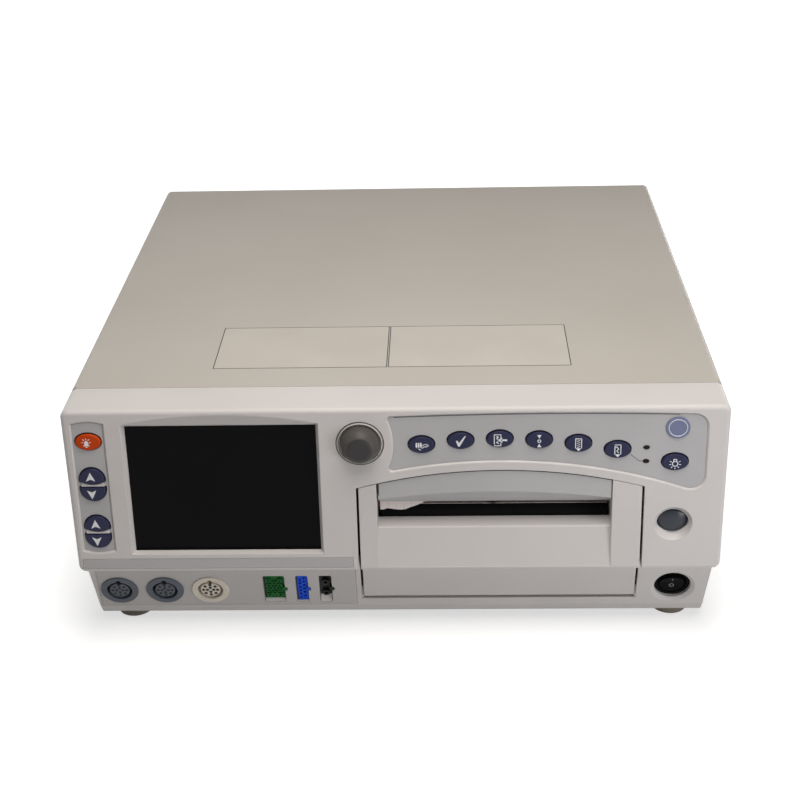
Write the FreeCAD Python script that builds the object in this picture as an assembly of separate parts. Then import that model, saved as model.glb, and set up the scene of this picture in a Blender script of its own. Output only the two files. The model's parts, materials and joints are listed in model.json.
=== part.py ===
import FreeCAD, Part
import os
from math import atan2, cos, degrees, pi, radians, sin, sqrt, tan

# Desktop fetal monitor with a strip-chart recorder, in millimetres.
# While it is drawn, y is 0 on the front face of the bezel and grows towards the back,
# x runs to the right as seen from the front and z is up from the table.
# The finished pieces move forward by MID_Y, which puts the origin under the middle of the object.

# Housing
WIDTH = 429.0
HEIGHT = 180.0
COVER_DEPTH = 431.0
BEZEL_DEPTH = 33.0
FOOT_HEIGHT = 9.0
FOOT_RADIUS = 14.0
FOOT_TAPER = 2.0
FOOT_INSET_X = 28.0
FOOT_INSET_Y = 15.0
WALL = 3.0
SEAM_GAP = 0.4
BASE_RISE = 21.0
UPPER_DRAFT = 1.2
LOWER_DRAFT = 4.0
LOWER_STEP = 2.0
LONG_EDGE_RADIUS = 5.0
FRONT_EDGE_RADIUS = 3.0
BACK_EDGE_RADIUS = 2.0
NOTCH_WIDTH = 3.5
NOTCH_DEPTH = 2.5
PANEL_FOOT_RISE = 6.6
PANEL_RISE = 43.4
PANEL_TILT = radians(16.7)
LEDGE_DEPTH = 12.0
FOOT_BEVEL = 4.0
PAST = 1.0

# Display
SCREEN_SPACING = 11.3
SCREEN_RISE = 13.8
SCREEN_MARGIN = 10.0
SCREEN_DEPTH = 4.5
BEVEL_SIDE = 2.0
BEVEL_LOW = 0.8
BEVEL_HIGH = 3.2
BROW_RISE = 6.4
WINDOW_LAP = 4.0
GLASS = 2.0
DISPLAY_THICK = 10.0
DISPLAY_CORNER = 1.5

# Keys
RECESS = 1.5
RECESS_BEVEL = 1.0
OVERLAY = 0.5
KEY_A = 8.25
OVAL_END = 0.8
KEY_B = 5.85
KEY_PROUD = 0.5
KEY_TRAVEL = 1.0
KEY_GAP = 0.3
KEY_FLANGE = 0.8
KEY_STEM_RADIUS = 2.5
KEY_DOME = 1.0
SWITCH_HEIGHT = 1.6
SWITCH_RADIUS = 2.2
BOARD = 1.6
BOARD_Y = 10.5
KEY_RISE = 22.3
FIRST_KEY_SPACE = 0.9
LAST_KEY_SPACE = 1.47
LIGHT_KEY_MARGIN = 19.8
LIGHT_KEY_RISE = 23.4
LAMP_RISE = 18.1
LAMP_SPACING = 10.0
LIGHT_A = 2.0
LIGHT_B = 1.4
BADGE_SHIFT = 1.0
BADGE_RISE = 24.6
BADGE_RADIUS = 7.75
BADGE_THICK = 0.8
FUNCTION_KNOB_SPACING = 17.0
FUNCTION_MARGIN = 14.5
FUNCTION_RISE = 3.6
FUNCTION_CROWN = 1.9
FUNCTION_CORNER = 9.0
FUNCTION_SMALL_CORNER = 2.0
VOLUME_MARGIN = 6.6
VOLUME_HALF_WIDTH = 10.2
VOLUME_RISE = 3.6
VOLUME_CROWN = 1.7
VOLUME_KEY_HALF = 8.15
ALARM_KEY_DROP = 12.4
VOLUME_2_RISE = 14.1
VOLUME_1_SHIFT = 1.1
UP_KEY_RISE = 12.1
UP_KEY_SHOULDER = 2.5
UP_KEY_LOW = 0.5
DOWN_KEY_TOP = 1.9
DOWN_KEY_DROP = 12.0

# Trim knob
KNOB_SHIFT = 2.1
KNOB_RISE = 20.1
KNOB_PROUD = 10.5
KNOB_RADIUS = 12.75
KNOB_FACE_RADIUS = 6.6
KNOB_SKIRT = 0.5
KNOB_TRAVEL = 0.8
COLLAR_RADIUS = 15.0
COLLAR_PROUD = 0.5
COLLAR_WALL = 1.5
SHAFT_RADIUS = 3.0
SHAFT_FLAT = 2.2
ROTOR_RADIUS = 4.5
ENCODER_HALF = 7.0
RUNNING = 0.05

# Recorder opening, door and visor
DOOR_SHIFT = 24.1
DOOR_SPACING = 24.4
DOOR_GAP = 1.6
DOOR_WALL = 3.0
ARCH_DROP = 38.6
ARCH_RADIUS = 345.0
ARCH_BAND = 6.6
ARCH_GAP = 0.5
UPRIGHT_LEFT_WIDTH = 11.7
UPRIGHT_RIGHT_WIDTH = 19.1
VISOR_LEFT_GAP = 1.0
VISOR_RIGHT_GAP = 0.5
VISOR_SETBACK = 1.0
VISOR_DEPTH = 9.0
VISOR_HEIGHT = 28.1
VISOR_LIP_END = 6.3
VISOR_LIP_RISE = 5.3
VISOR_FLANGE = 5.0
SLOT_OPENING = 13.7
SILL_FRONT_Y = 3.0
SILL_BACK_Y = 13.0
SILL_FALL = 2.2
SILL_RADIUS = 1.0
BARREL_RADIUS = 4.6
BARREL_RISE = 12.2
BARREL_GAP = 0.8
HINGE_PIN_RADIUS = 1.5
HINGE_PIN_REACH = 6.0
EAR = 4.0
EAR_GAP = 0.4
DOOR_FLANGE = 19.5
DOOR_FLANGE_WALL = 2.0
CHEEK_BACK = 29.5
CHEEK_RISE = 8.0
CHEEK_DROP = 11.0

# Platen, gears and paper
PLATEN_Y = 22.0
PLATEN_DROP = 0.2
PLATEN_RADIUS = 8.0
PLATEN_SHAFT_RADIUS = 3.0
PAPER_GAP = 0.3
PAPER = 0.25
PAPER_MARGIN = 1.0
PACK_DEPTH = 90.0
PACK_HEIGHT = 22.0
PACK_CLEARANCE = 13.7
PAPER_BEND = 14.0
PAPER_TONGUE = 6.5
GEAR_MODULE = 1.0
PLATEN_TEETH = 24
IDLER_TEETH = 30
PINION_TEETH = 12
GEAR_WIDTH = 5.0
GEAR_INSET = 7.0
MESH_SLACK = 0.1
IDLER_PIN_RADIUS = 2.0
MOTOR_RADIUS = 17.5
MOTOR_LENGTH = 26.0
MOTOR_ROUNDING = 2.0
MOTOR_FLANGE = 1.5
MOTOR_EAR = 5.0
MOTOR_EAR_HALF = 6.0
MOTOR_SHAFT_RADIUS = 2.0
PINION_ANGLE = radians(-52.0)

# Recorder frame and print head
FRAME_SIDE = 6.6
FRAME_INSET = 6.0
FRAME_PLATE = 2.0
FRAME_FRONT = 36.0
FRAME_DROP = 19.0
FRAME_BACK_DROP = 20.0
FRAME_SLOPE = 60.0
FRAME_REAR_RISE = 28.0
TRAY_RISE = 24.0
HEAD_THICK = 5.0
HEAD_DROP = 9.0
HEAD_RISE = 11.0
HEAD_ROUNDING = 1.0
BAR_DEPTH = 8.0

# Latch
LATCH_SPACING = 21.0
LATCH_MARGIN = 33.5
LATCH_RISE = 35.0
DISH_RADIUS = 12.5
DISH_DEPTH = 7.5
LATCH_A = 10.0
LATCH_B = 7.6
LATCH_DOME = 2.6
LATCH_FACE_Y = 4.6
LATCH_STEM_RADIUS = 4.0
LATCH_STEM_END = 15.0
LATCH_TAB = 1.6
LATCH_TRAVEL = 3.0
LEVER_SPACING = 6.0
LEVER_PIVOT_Y = 21.5
LEVER_THICK = 3.0
LEVER_PIN_RADIUS = 1.5
LEVER_HUB_RADIUS = 4.0
LUG = 4.0
LUG_GAP = 0.4
LATCH_CLEARANCE = 0.4

# Connector face
CONNECTOR_MARGIN = 8.0
CONNECTOR_SPACING = 4.9
CONNECTOR_PLATE = 1.2
SOCKET_RISE = 17.4
SOCKET_SPACES = [0.27, 1.0, 1.0, 4.2, 1.4, 1.4, 3.0]
SOCKET_FLANGE_RADIUS = 12.85
SOCKET_BODY_RADIUS = 11.3
SOCKET_BORE_RADIUS = 8.75
SOCKET_CORE_RADIUS = 6.7
SOCKET_CORE_RECESS = 0.6
SOCKET_PROUD = 1.0
SOCKET_BORE_DEPTH = 6.0
SOCKET_BODY_DEPTH = 24.0
SOCKET_KEY = 3.0
CONTACT_RADIUS = 0.95
CONTACT_DEPTH = 2.0
CONTACT_RINGS = [(8, 4.8), (4, 2.1)]
SLOT_HEIGHT = 26.4
SLOT_CORNER = 1.2
SLOT_FLANGE = 1.2
SLOT_NUB_RADIUS = 1.9
SLOT_WIDTHS = {"ecg_socket": 14.4, "oximetry_socket": 8.0, "pressure_socket": 8.4}
SLOT_RECESSES = {"ecg_socket": 2.0, "oximetry_socket": 1.0, "pressure_socket": 3.0}
SLEEVE_RADIUS = 1.85
SLEEVE_BORE = 0.9
SLEEVE_HEIGHT = 1.2
SLEEVE_PITCH_X = 3.75
SLEEVE_PITCH_Z = 4.8
PINHOLE_PITCH_X = 2.8
PINHOLE_PITCH_Z = 3.6
PORT_RADIUS = 2.5
PORT_BORE = 1.3
PORT_HEIGHT = 2.0
PORT_PITCH = 11.0
FIT_GAP = 0.2
LEGEND_MARGIN = 4.5
LEGEND_RISE = 10.8

# Power switch
SWITCH_MARGIN = 28.5
SWITCH_DISH_RADIUS = 15.0
SWITCH_DISH_DEPTH = 5.0
SWITCH_FLANGE_RADIUS = 12.2
SWITCH_FLANGE = 1.5
SWITCH_FLANGE_ROUNDING = 0.6
SWITCH_BODY_RADIUS = 10.8
SWITCH_CAVITY_RADIUS = 9.8
ROCKER_RADIUS = 8.6
ROCKER_TIP = radians(9.0)
ROCKER_AXIS_Y = 9.0
ROCKER_FRONT_Y = 4.0
ROCKER_BACK_Y = 11.0
TRUNNION_RADIUS = 1.2

# Back and inside
REAR_INSET = 10.0
REAR_PLATE = 2.0
SCREW_RADIUS = 1.5
SCREW_HEAD_RADIUS = 3.0
SCREW_HEAD = 2.0
SCREW_LENGTH = 10.0
INLET_MARGIN = 64.5
INLET_RISE = 40.0
INLET_HALF_WIDTH = 14.5
INLET_HALF_HEIGHT = 22.0
INLET_PROUD = 3.0
INLET_DEPTH = 26.0
INLET_MOUTH_X = 12.0
INLET_MOUTH_Z = 8.25
INLET_MOUTH_DEPTH = 17.0
INLET_PIN_RECESS = 5.0
INLET_PINS = [(-7.0, -1.5), (7.0, -1.5), (0.0, 2.5)]
INLET_PIN_HALF_X = 1.0
INLET_PIN_HALF_Z = 2.0
INLET_FLANGE = 2.0
INLET_CASE_GAP = 1.5
INLET_CORNER = 3.0
INLET_DRAWER_LOW = 4.0
POST_SPACING = 55.0
POST_RISE = 28.0
POST_RADIUS = 3.0
POST_LENGTH = 12.0
POST_COLLAR = 2.5
DATA_MARGIN = 64.5
DATA_SPACING = 45.0
DATA_RISE = 33.0
DATA_PLATE_WIDTH = 31.0
DATA_PLATE_HEIGHT = 12.6
DATA_PLATE = 1.0
DATA_SHELL_TOP = 8.5
DATA_SHELL_LOW = 7.0
DATA_SHELL_HALF = 4.0
DATA_PROUD = 6.0
DATA_DEPTH = 10.0
DATA_NUT_X = 12.5
DATA_NUT_RADIUS = 2.5
DATA_NUT = 4.0
DATA_PITCH = 2.7
DATA_ROW = 1.4
DATA_HOLE_RADIUS = 0.6
VENT_COUNT = 9
VENT_PITCH = 9.0
VENT_WIDTH = 3.0
VENT_LENGTH = 34.0
GRILLE_WIDTH = 2.0
GRILLE_PITCH = 4.5
STANDOFF = 8.0
STANDOFF_RADIUS = 3.5
SPEAKER_MARGIN = 94.5
SPEAKER_BACK = 77.0
SPEAKER_RADIUS = 33.0
SPEAKER_HEIGHT = 24.0
SPEAKER_RIM = 4.0
MAIN_MARGIN = 24.5
MAIN_PUMP_SPACING = 24.0
MAIN_SPEAKER_SPACING = 37.0
MAIN_REAR_SPACING = 41.0
CHIP = 25.0
CHIP_PITCH = 45.0
CHIP_HEIGHT = 4.0
CAN_HEIGHT = 14.0
HEADER = 8.0
SUPPLY_MARGIN = 24.5
SUPPLY_WIDTH = 130.0
SUPPLY_DEPTH = 110.0
SUPPLY_HEIGHT = 42.0
SUPPLY_SLOTS = 11
SUPPLY_SLOT = 4.0
SUPPLY_SLOT_PITCH = 10.0
PUMP_X = 0.0
PUMP_BACK = 100.0
PUMP_LENGTH = 60.0
PUMP_HEAD = 22.0
PUMP_CRADLE = 6.0
PUMP_MOTOR_RADIUS = 13.0
PUMP_SPOUT_RADIUS = 2.5
PUMP_SPOUT = 9.0

# Worked out from the sizes above: across the front, from left to right
V = FreeCAD.Vector
X_AXIS = V(1, 0, 0)
Y_AXIS = V(0, 1, 0)
Z_AXIS = V(0, 0, 1)
LEFT = -WIDTH / 2
RIGHT = WIDTH / 2
VOLUME_X = LEFT + VOLUME_MARGIN + VOLUME_HALF_WIDTH
SCREEN_LEFT = VOLUME_X + VOLUME_HALF_WIDTH + SCREEN_SPACING
DOOR_LEFT = -DOOR_SHIFT
SCREEN_RIGHT = DOOR_LEFT - DOOR_SPACING
LATCH_X = RIGHT - LATCH_MARGIN
DOOR_RIGHT = LATCH_X - LATCH_SPACING
LEVER_PIVOT_X = DOOR_RIGHT + LEVER_SPACING
SWITCH_X = RIGHT - SWITCH_MARGIN
ARCH_X = (DOOR_LEFT + DOOR_RIGHT) / 2
UPRIGHT_LEFT = DOOR_LEFT + UPRIGHT_LEFT_WIDTH
UPRIGHT_RIGHT = DOOR_RIGHT - UPRIGHT_RIGHT_WIDTH
VISOR_LEFT = UPRIGHT_LEFT + VISOR_LEFT_GAP
VISOR_RIGHT = UPRIGHT_RIGHT - VISOR_RIGHT_GAP
PLATEN_LEFT = VISOR_LEFT + PAPER_MARGIN
PLATEN_RIGHT = VISOR_RIGHT - PAPER_MARGIN
FRAME_LEFT = UPRIGHT_LEFT - FRAME_SIDE
FRAME_RIGHT = DOOR_RIGHT - FRAME_INSET
GEAR_X = FRAME_RIGHT - GEAR_INSET
KNOB_X = DOOR_LEFT + KNOB_SHIFT
FUNCTION_LEFT = KNOB_X + FUNCTION_KNOB_SPACING
FUNCTION_RIGHT = RIGHT - FUNCTION_MARGIN
LIGHT_KEY_X = FUNCTION_RIGHT - LIGHT_KEY_MARGIN
CONNECTOR_LEFT = LEFT + CONNECTOR_MARGIN
CONNECTOR_RIGHT = DOOR_LEFT - CONNECTOR_SPACING
LEGEND_LEFT = LEFT + LEGEND_MARGIN
INLET_X = RIGHT - INLET_MARGIN
POST_X = INLET_X - POST_SPACING
DATA_X = [LEFT + DATA_MARGIN + DATA_SPACING * i for i in range(3)]
SPEAKER_X = LEFT + SPEAKER_MARGIN
SUPPLY_RIGHT = RIGHT - SUPPLY_MARGIN
SUPPLY_LEFT = SUPPLY_RIGHT - SUPPLY_WIDTH
PUMP_HALF = PUMP_MOTOR_RADIUS + PUMP_CRADLE / 2
MAIN_LEFT = LEFT + MAIN_MARGIN
MAIN_RIGHT = PUMP_X - PUMP_HALF - MAIN_PUMP_SPACING

# Worked out: from the table up
FLOOR_Z = FOOT_HEIGHT + WALL
SPLIT_Z = FOOT_HEIGHT + BASE_RISE
PANEL_FOOT_Z = FOOT_HEIGHT + PANEL_FOOT_RISE
LEDGE_Z = PANEL_FOOT_Z + PANEL_RISE
PANEL_SLOPE = PANEL_RISE / cos(PANEL_TILT)
SOCKET_DROP = PANEL_SLOPE - SOCKET_RISE
LEGEND_HIGH = LEDGE_Z + LEGEND_RISE
SCREEN_LOW = LEDGE_Z + SCREEN_RISE
SCREEN_HIGH = HEIGHT - SCREEN_MARGIN
VOLUME_LOW = SCREEN_LOW + VOLUME_RISE
VOLUME_HIGH = SCREEN_HIGH
ALARM_KEY_Z = VOLUME_HIGH - ALARM_KEY_DROP
VOLUME_2_Z = VOLUME_LOW + VOLUME_2_RISE
VOLUME_1_Z = (ALARM_KEY_Z - KEY_B + VOLUME_2_Z + DOWN_KEY_DROP) / 2 - VOLUME_1_SHIFT
FUNCTION_TOP = SCREEN_HIGH + FUNCTION_RISE
ARCH_TOP = FUNCTION_TOP - ARCH_DROP
KNOB_Z = ARCH_TOP + KNOB_RISE
VISOR_EDGE_Z = ARCH_TOP - VISOR_HEIGHT
SILL_BACK_Z = VISOR_EDGE_Z - SLOT_OPENING
SILL_FRONT_Z = SILL_BACK_Z - SILL_FALL
PLATEN_Z = SILL_BACK_Z - PLATEN_DROP
CHEEK_TOP = PLATEN_Z + CHEEK_RISE
CHEEK_LOW = PLATEN_Z - CHEEK_DROP
HEAD_LOW = PLATEN_Z - HEAD_DROP
HEAD_HIGH = PLATEN_Z + HEAD_RISE
FRAME_TOP = ARCH_TOP - FRAME_DROP
TRAY_Z = FLOOR_Z + TRAY_RISE
FRAME_REAR_TOP = TRAY_Z + PACK_HEIGHT + FRAME_REAR_RISE
BARREL_Z = PANEL_FOOT_Z + BARREL_RISE
LATCH_Z = LEDGE_Z + LATCH_RISE
INLET_Z = FLOOR_Z + INLET_RISE
POST_Z = FLOOR_Z + POST_RISE
DATA_Z = FLOOR_Z + DATA_RISE

# Worked out: from front to back
REAR_Y = COVER_DEPTH - REAR_INSET
POST_TIP_Y = REAR_Y + POST_COLLAR + POST_LENGTH
MID_Y = (POST_TIP_Y - KNOB_PROUD) / 2
BARREL_Y = LEDGE_DEPTH + (LEDGE_Z - BARREL_Z) * tan(PANEL_TILT) + BARREL_RADIUS / cos(PANEL_TILT)
PAPER_Y = PLATEN_Y + PLATEN_RADIUS + PAPER_GAP
HEAD_Y = PAPER_Y + PAPER
FRAME_BACK = PAPER_Y + PAPER_BEND + PACK_DEPTH + PACK_CLEARANCE + FRAME_PLATE
KEY_BACK = WALL + KEY_GAP + KEY_FLANGE
STEM_END = BOARD_Y - SWITCH_HEIGHT - KEY_TRAVEL - FIT_GAP
SPEAKER_Y = BEZEL_DEPTH + SPEAKER_BACK
MAIN_FRONT = SPEAKER_Y + SPEAKER_RADIUS + MAIN_SPEAKER_SPACING
MAIN_BACK = REAR_Y - MAIN_REAR_SPACING
PUMP_Y = FRAME_BACK + PUMP_BACK


def box(x0, x1, y0, y1, z0, z1):
    return Part.makeBox(x1 - x0, y1 - y0, z1 - z0, V(x0, y0, z0))


def rod(x, y, z, axis, radius, length):
    return Part.makeCylinder(radius, length, V(x, y, z), axis)


def join(first, *others):
    return first.multiFuse(list(others)).removeSplitter()


def polygon(points):
    return Part.Face(Part.makePolygon(points + [points[0]]))


def prism_x(section, x0, x1):
    """Extrudes (y, z) points from x0 to x1."""
    return polygon([V(x0, y, z) for y, z in section]).extrude(X_AXIS * (x1 - x0))


def prism_y(face, y0, y1):
    """Extrudes a face drawn at y = 0 from y0 to y1."""
    return face.translated(Y_AXIS * y0).extrude(Y_AXIS * (y1 - y0))


def front_face(*edges):
    return Part.Face(Part.Wire(edges))


def line(a, b):
    return Part.LineSegment(V(a[0], 0, a[1]), V(b[0], 0, b[1])).toShape()


def arc(a, b, c):
    return Part.Arc(V(a[0], 0, a[1]), V(b[0], 0, b[1]), V(c[0], 0, c[1])).toShape()


def oval(x, z, a, b):
    """Oval of four tangent arcs, a and b from its middle to its ends and sides."""
    end = OVAL_END * b
    drop = ((a - end) ** 2 - (b - end) ** 2) / (2 * (b - end))
    reach = (b + drop) / sqrt((a - end) ** 2 + drop ** 2)
    tx = (a - end) * reach
    tz = drop * reach - drop
    return front_face(arc((x - tx, z + tz), (x, z + b), (x + tx, z + tz)),
                      arc((x + tx, z + tz), (x + a, z), (x + tx, z - tz)),
                      arc((x + tx, z - tz), (x, z - b), (x - tx, z - tz)),
                      arc((x - tx, z - tz), (x - a, z), (x - tx, z + tz)))


def disc(x, z, radius):
    return front_face(Part.Circle(V(x, 0, z), Y_AXIS, radius).toShape())


def rounded(x, z, width, height, radius):
    """Upright rectangle with round corners, as a face at y = 0."""
    block = box(x - width / 2, x + width / 2, 0, 1, z - height / 2, z + height / 2)
    block = fillet(block, radius, lambda e: along(e, Y_AXIS))
    return [f for f in block.Faces if abs(f.CenterOfMass.y) < 1e-6][0]


def grown(face, distance):
    return Part.Face(face.OuterWire.makeOffset2D(distance))


def along(edge, axis):
    ends = edge.Vertexes
    if len(ends) != 2:
        return False
    run = ends[1].Point - ends[0].Point
    return run.Length > 1e-6 and run.cross(axis).Length < 1e-6 * run.Length


def fillet(shape, radius, wanted):
    return shape.makeFillet(radius, [e for e in shape.Edges if wanted(e)])


def near(value, target):
    return abs(value - target) < 1e-4


def half_width(z):
    if z >= LEDGE_Z:
        return WIDTH / 2 - UPPER_DRAFT * (HEIGHT - z) / (HEIGHT - LEDGE_Z)
    return WIDTH / 2 - UPPER_DRAFT - LOWER_DRAFT * (LEDGE_Z - z) / (LEDGE_Z - FOOT_HEIGHT)


def panel_y(z):
    """Front of the tilted connector face at a height."""
    return LEDGE_DEPTH + (LEDGE_Z - z) * tan(PANEL_TILT)


def housing_slab(inset, z0, z1, y0, y1):
    """Part of the housing's front view, drawn inset inside its outline, from y0 to y1."""
    heights = [z0, LEDGE_Z, z1] if z0 < LEDGE_Z < z1 else [z0, z1]
    right = [V(half_width(z) - inset, y0, z) for z in heights]
    left = [V(-p.x, y0, p.z) for p in reversed(right)]
    return polygon(right + left).extrude(Y_AXIS * (y1 - y0))


def tilted(shape, x, drop):
    """Places a shape drawn at the origin, facing -y, on the tilted face, drop below the ledge."""
    turn = FreeCAD.Rotation(X_AXIS, degrees(PANEL_TILT))
    place = V(x, LEDGE_DEPTH + drop * sin(PANEL_TILT), LEDGE_Z - drop * cos(PANEL_TILT))
    moved = shape.copy()
    moved.Placement = FreeCAD.Placement(place, turn).multiply(moved.Placement)
    return moved


def arch_z(x, grow):
    """Height of the recorder arch, grow outside its edge."""
    radius = ARCH_RADIUS + grow
    return ARCH_TOP - ARCH_RADIUS + sqrt(radius ** 2 - (x - ARCH_X) ** 2)


def arch_edge(x0, x1, grow):
    middle = (x0 + x1) / 2
    return arc((x0, arch_z(x0, grow)), (middle, arch_z(middle, grow)), (x1, arch_z(x1, grow)))


def under_arch(x0, x1, low, grow):
    """Face from a straight lower edge up to the arch."""
    return front_face(arch_edge(x0, x1, grow), line((x1, arch_z(x1, grow)), (x1, low)),
                      line((x1, low), (x0, low)), line((x0, low), (x0, arch_z(x0, grow))))


# Places and openings that more than one piece shares

FUNCTION_NAMES = ["pressure_key", "test_key", "mark_key", "reference_key", "paper_advance_key", "record_key"]


def function_key_places():
    """Middles of the function keys, which follow the arch."""
    pitch = (LIGHT_KEY_X - FUNCTION_LEFT) / (FIRST_KEY_SPACE + len(FUNCTION_NAMES) - 1 + LAST_KEY_SPACE)
    places = {}
    for i, name in enumerate(FUNCTION_NAMES):
        x = FUNCTION_LEFT + (FIRST_KEY_SPACE + i) * pitch
        places[name] = (x, arch_z(x, 0) + KEY_RISE)
    places["light_key"] = (LIGHT_KEY_X, arch_z(LIGHT_KEY_X, 0) + LIGHT_KEY_RISE)
    return places


FUNCTION_KEYS = function_key_places()


def lamp_places():
    """Both status lamps, between the record key and the light key."""
    x = (FUNCTION_KEYS["record_key"][0] + LIGHT_KEY_X) / 2
    low = arch_z(x, 0) + LAMP_RISE
    return [(x, low + LAMP_SPACING), (x, low)]


def socket_row():
    """Middles of the six sockets, with the free width of the face shared out between them."""
    widths = [2 * SOCKET_FLANGE_RADIUS] * 3 + list(SLOT_WIDTHS.values())
    share = (CONNECTOR_RIGHT - CONNECTOR_LEFT - sum(widths)) / sum(SOCKET_SPACES)
    edge = CONNECTOR_LEFT
    middles = []
    for width, space in zip(widths, SOCKET_SPACES):
        edge += space * share + width
        middles.append(edge - width / 2)
    return middles


SOCKET_X = socket_row()[:3]
SLOT_X = dict(zip(SLOT_WIDTHS, socket_row()[3:]))


def function_outline(inset):
    """Recess of the function keys, inset inside its edge."""
    left = FUNCTION_LEFT + inset
    right = FUNCTION_RIGHT - inset
    top = FUNCTION_TOP - inset
    band = ARCH_BAND + inset
    bulge = (KNOB_X + COLLAR_RADIUS + band, KNOB_Z)
    crown = ((left + right) / 2, top + FUNCTION_CROWN)
    face = front_face(arc((left, arch_z(left, band)), bulge, (left, top)),
                      arc((left, top), crown, (right, top)),
                      line((right, top), (right, arch_z(right, band))), arch_edge(left, right, band))
    block = prism_y(face, 0, 1)
    block = fillet(block, FUNCTION_CORNER - inset,
                   lambda e: along(e, Y_AXIS) and near(e.Vertexes[0].X, right))
    block = fillet(block, FUNCTION_SMALL_CORNER - inset,
                   lambda e: along(e, Y_AXIS) and near(e.Vertexes[0].X, left))
    return [f for f in block.Faces if near(f.CenterOfMass.y, 0)][0]


def volume_outline(inset):
    """Recess of the volume keys, inset inside its edge."""
    left = VOLUME_X - VOLUME_HALF_WIDTH + inset
    right = VOLUME_X + VOLUME_HALF_WIDTH - inset
    low = VOLUME_LOW + inset
    high = VOLUME_HIGH - inset
    return front_face(arc((left, high), (VOLUME_X, high + VOLUME_CROWN), (right, high)),
                      line((right, high), (right, low)),
                      arc((right, low), (VOLUME_X, low - VOLUME_CROWN), (left, low)),
                      line((left, low), (left, high)))


def up_key_outline(z):
    left = (VOLUME_X - VOLUME_KEY_HALF, z + UP_KEY_SHOULDER)
    right = (VOLUME_X + VOLUME_KEY_HALF, z + UP_KEY_SHOULDER)
    return front_face(arc(left, (VOLUME_X, z + UP_KEY_RISE), right),
                      arc(right, (VOLUME_X, z + UP_KEY_LOW), left))


def down_key_outline(z):
    left = (VOLUME_X - VOLUME_KEY_HALF, z - DOWN_KEY_TOP)
    right = (VOLUME_X + VOLUME_KEY_HALF, z - DOWN_KEY_TOP)
    return front_face(arc(left, (VOLUME_X, z - DOWN_KEY_DROP), right), line(right, left))


def key_outlines():
    faces = {name: oval(x, z, KEY_A, KEY_B) for name, (x, z) in FUNCTION_KEYS.items()}
    faces["alarm_silence_key"] = oval(VOLUME_X, ALARM_KEY_Z, KEY_A, KEY_B)
    faces["volume_1_up_key"] = up_key_outline(VOLUME_1_Z)
    faces["volume_1_down_key"] = down_key_outline(VOLUME_1_Z)
    faces["volume_2_up_key"] = up_key_outline(VOLUME_2_Z)
    faces["volume_2_down_key"] = down_key_outline(VOLUME_2_Z)
    return faces


KEYS = key_outlines()


def key_holes(y0, y1):
    return [prism_y(grown(face, KEY_GAP), y0, y1) for face in KEYS.values()]


def light_holes(y0, y1):
    return [prism_y(oval(x, z, LIGHT_A + FIT_GAP, LIGHT_B + FIT_GAP), y0, y1) for x, z in lamp_places()]


def bowl(x, z, radius, depth):
    """Ball that cuts a round dish into a face at y = 0."""
    ball = (radius ** 2 + depth ** 2) / (2 * depth)
    return Part.makeSphere(ball, V(x, depth - ball, z))


def board_bosses():
    """Places of the bosses that carry the key boards."""
    right = FUNCTION_RIGHT - STANDOFF_RADIUS
    high = FUNCTION_TOP - 2 * STANDOFF_RADIUS
    return [(right, high), (FUNCTION_LEFT + 2 * STANDOFF_RADIUS, high), (right, KNOB_Z),
            (VOLUME_X, VOLUME_HIGH + STANDOFF_RADIUS),
            (VOLUME_X, VOLUME_LOW - VOLUME_CROWN - STANDOFF_RADIUS)]


# Housing

def bezel_side(inset):
    """Side section of the bezel, inset inside its outer surface."""
    back = inset / cos(PANEL_TILT)
    rear = BEZEL_DEPTH + inset
    foot_z = PANEL_FOOT_Z + inset / 2
    foot = panel_y(foot_z) + back
    return [(inset, HEIGHT - inset), (rear, HEIGHT - inset), (rear, FOOT_HEIGHT + inset),
            (foot + FOOT_BEVEL, FOOT_HEIGHT + inset), (foot, foot_z),
            (panel_y(LEDGE_Z + inset) + back, LEDGE_Z + inset), (inset, LEDGE_Z + inset)]


def ledge_corner():
    """What is cut away to round the lower edge of the upper front."""
    corner = box(-WIDTH, WIDTH, -PAST, FRONT_EDGE_RADIUS, LEDGE_Z - PAST, LEDGE_Z + FRONT_EDGE_RADIUS)
    return corner.cut(rod(-WIDTH, FRONT_EDGE_RADIUS, LEDGE_Z + FRONT_EDGE_RADIUS, X_AXIS, FRONT_EDGE_RADIUS, 2 * WIDTH))


def bezel_shell():
    front = housing_slab(0, LEDGE_Z, HEIGHT, 0, LEDGE_DEPTH)
    front = fillet(front, LONG_EDGE_RADIUS, lambda e: along(e, Y_AXIS))
    front = fillet(front, FRONT_EDGE_RADIUS, lambda e: near(e.BoundBox.YMax, 0))
    upper = housing_slab(0, LEDGE_Z, HEIGHT, LEDGE_DEPTH, BEZEL_DEPTH)
    upper = fillet(upper, LONG_EDGE_RADIUS, lambda e: along(e, Y_AXIS) and near(e.Vertexes[0].Z, HEIGHT))
    lower = prism_x(bezel_side(0), -WIDTH / 2, WIDTH / 2)
    lower = lower.common(housing_slab(LOWER_STEP, FOOT_HEIGHT, LEDGE_Z, 0, BEZEL_DEPTH))
    roof = LEDGE_Z + WALL
    room = housing_slab(WALL, roof, HEIGHT, 0, BEZEL_DEPTH + WALL)
    room = room.fuse(housing_slab(WALL + LOWER_STEP, FOOT_HEIGHT, roof, 0, BEZEL_DEPTH + WALL))
    cavity = prism_x(bezel_side(WALL), -WIDTH / 2, WIDTH / 2).common(room)
    return front.multiFuse([upper, lower]).cut(cavity)


def recess(outline):
    """Sunk seat of a key panel, with a bevelled edge."""
    wires = [outline(-RECESS_BEVEL).OuterWire, outline(0).OuterWire.translated(Y_AXIS * RECESS_BEVEL)]
    rim = Part.makeLoft(wires, True, True)
    return [rim, prism_y(outline(0), RECESS_BEVEL / 2, RECESS)]


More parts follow.
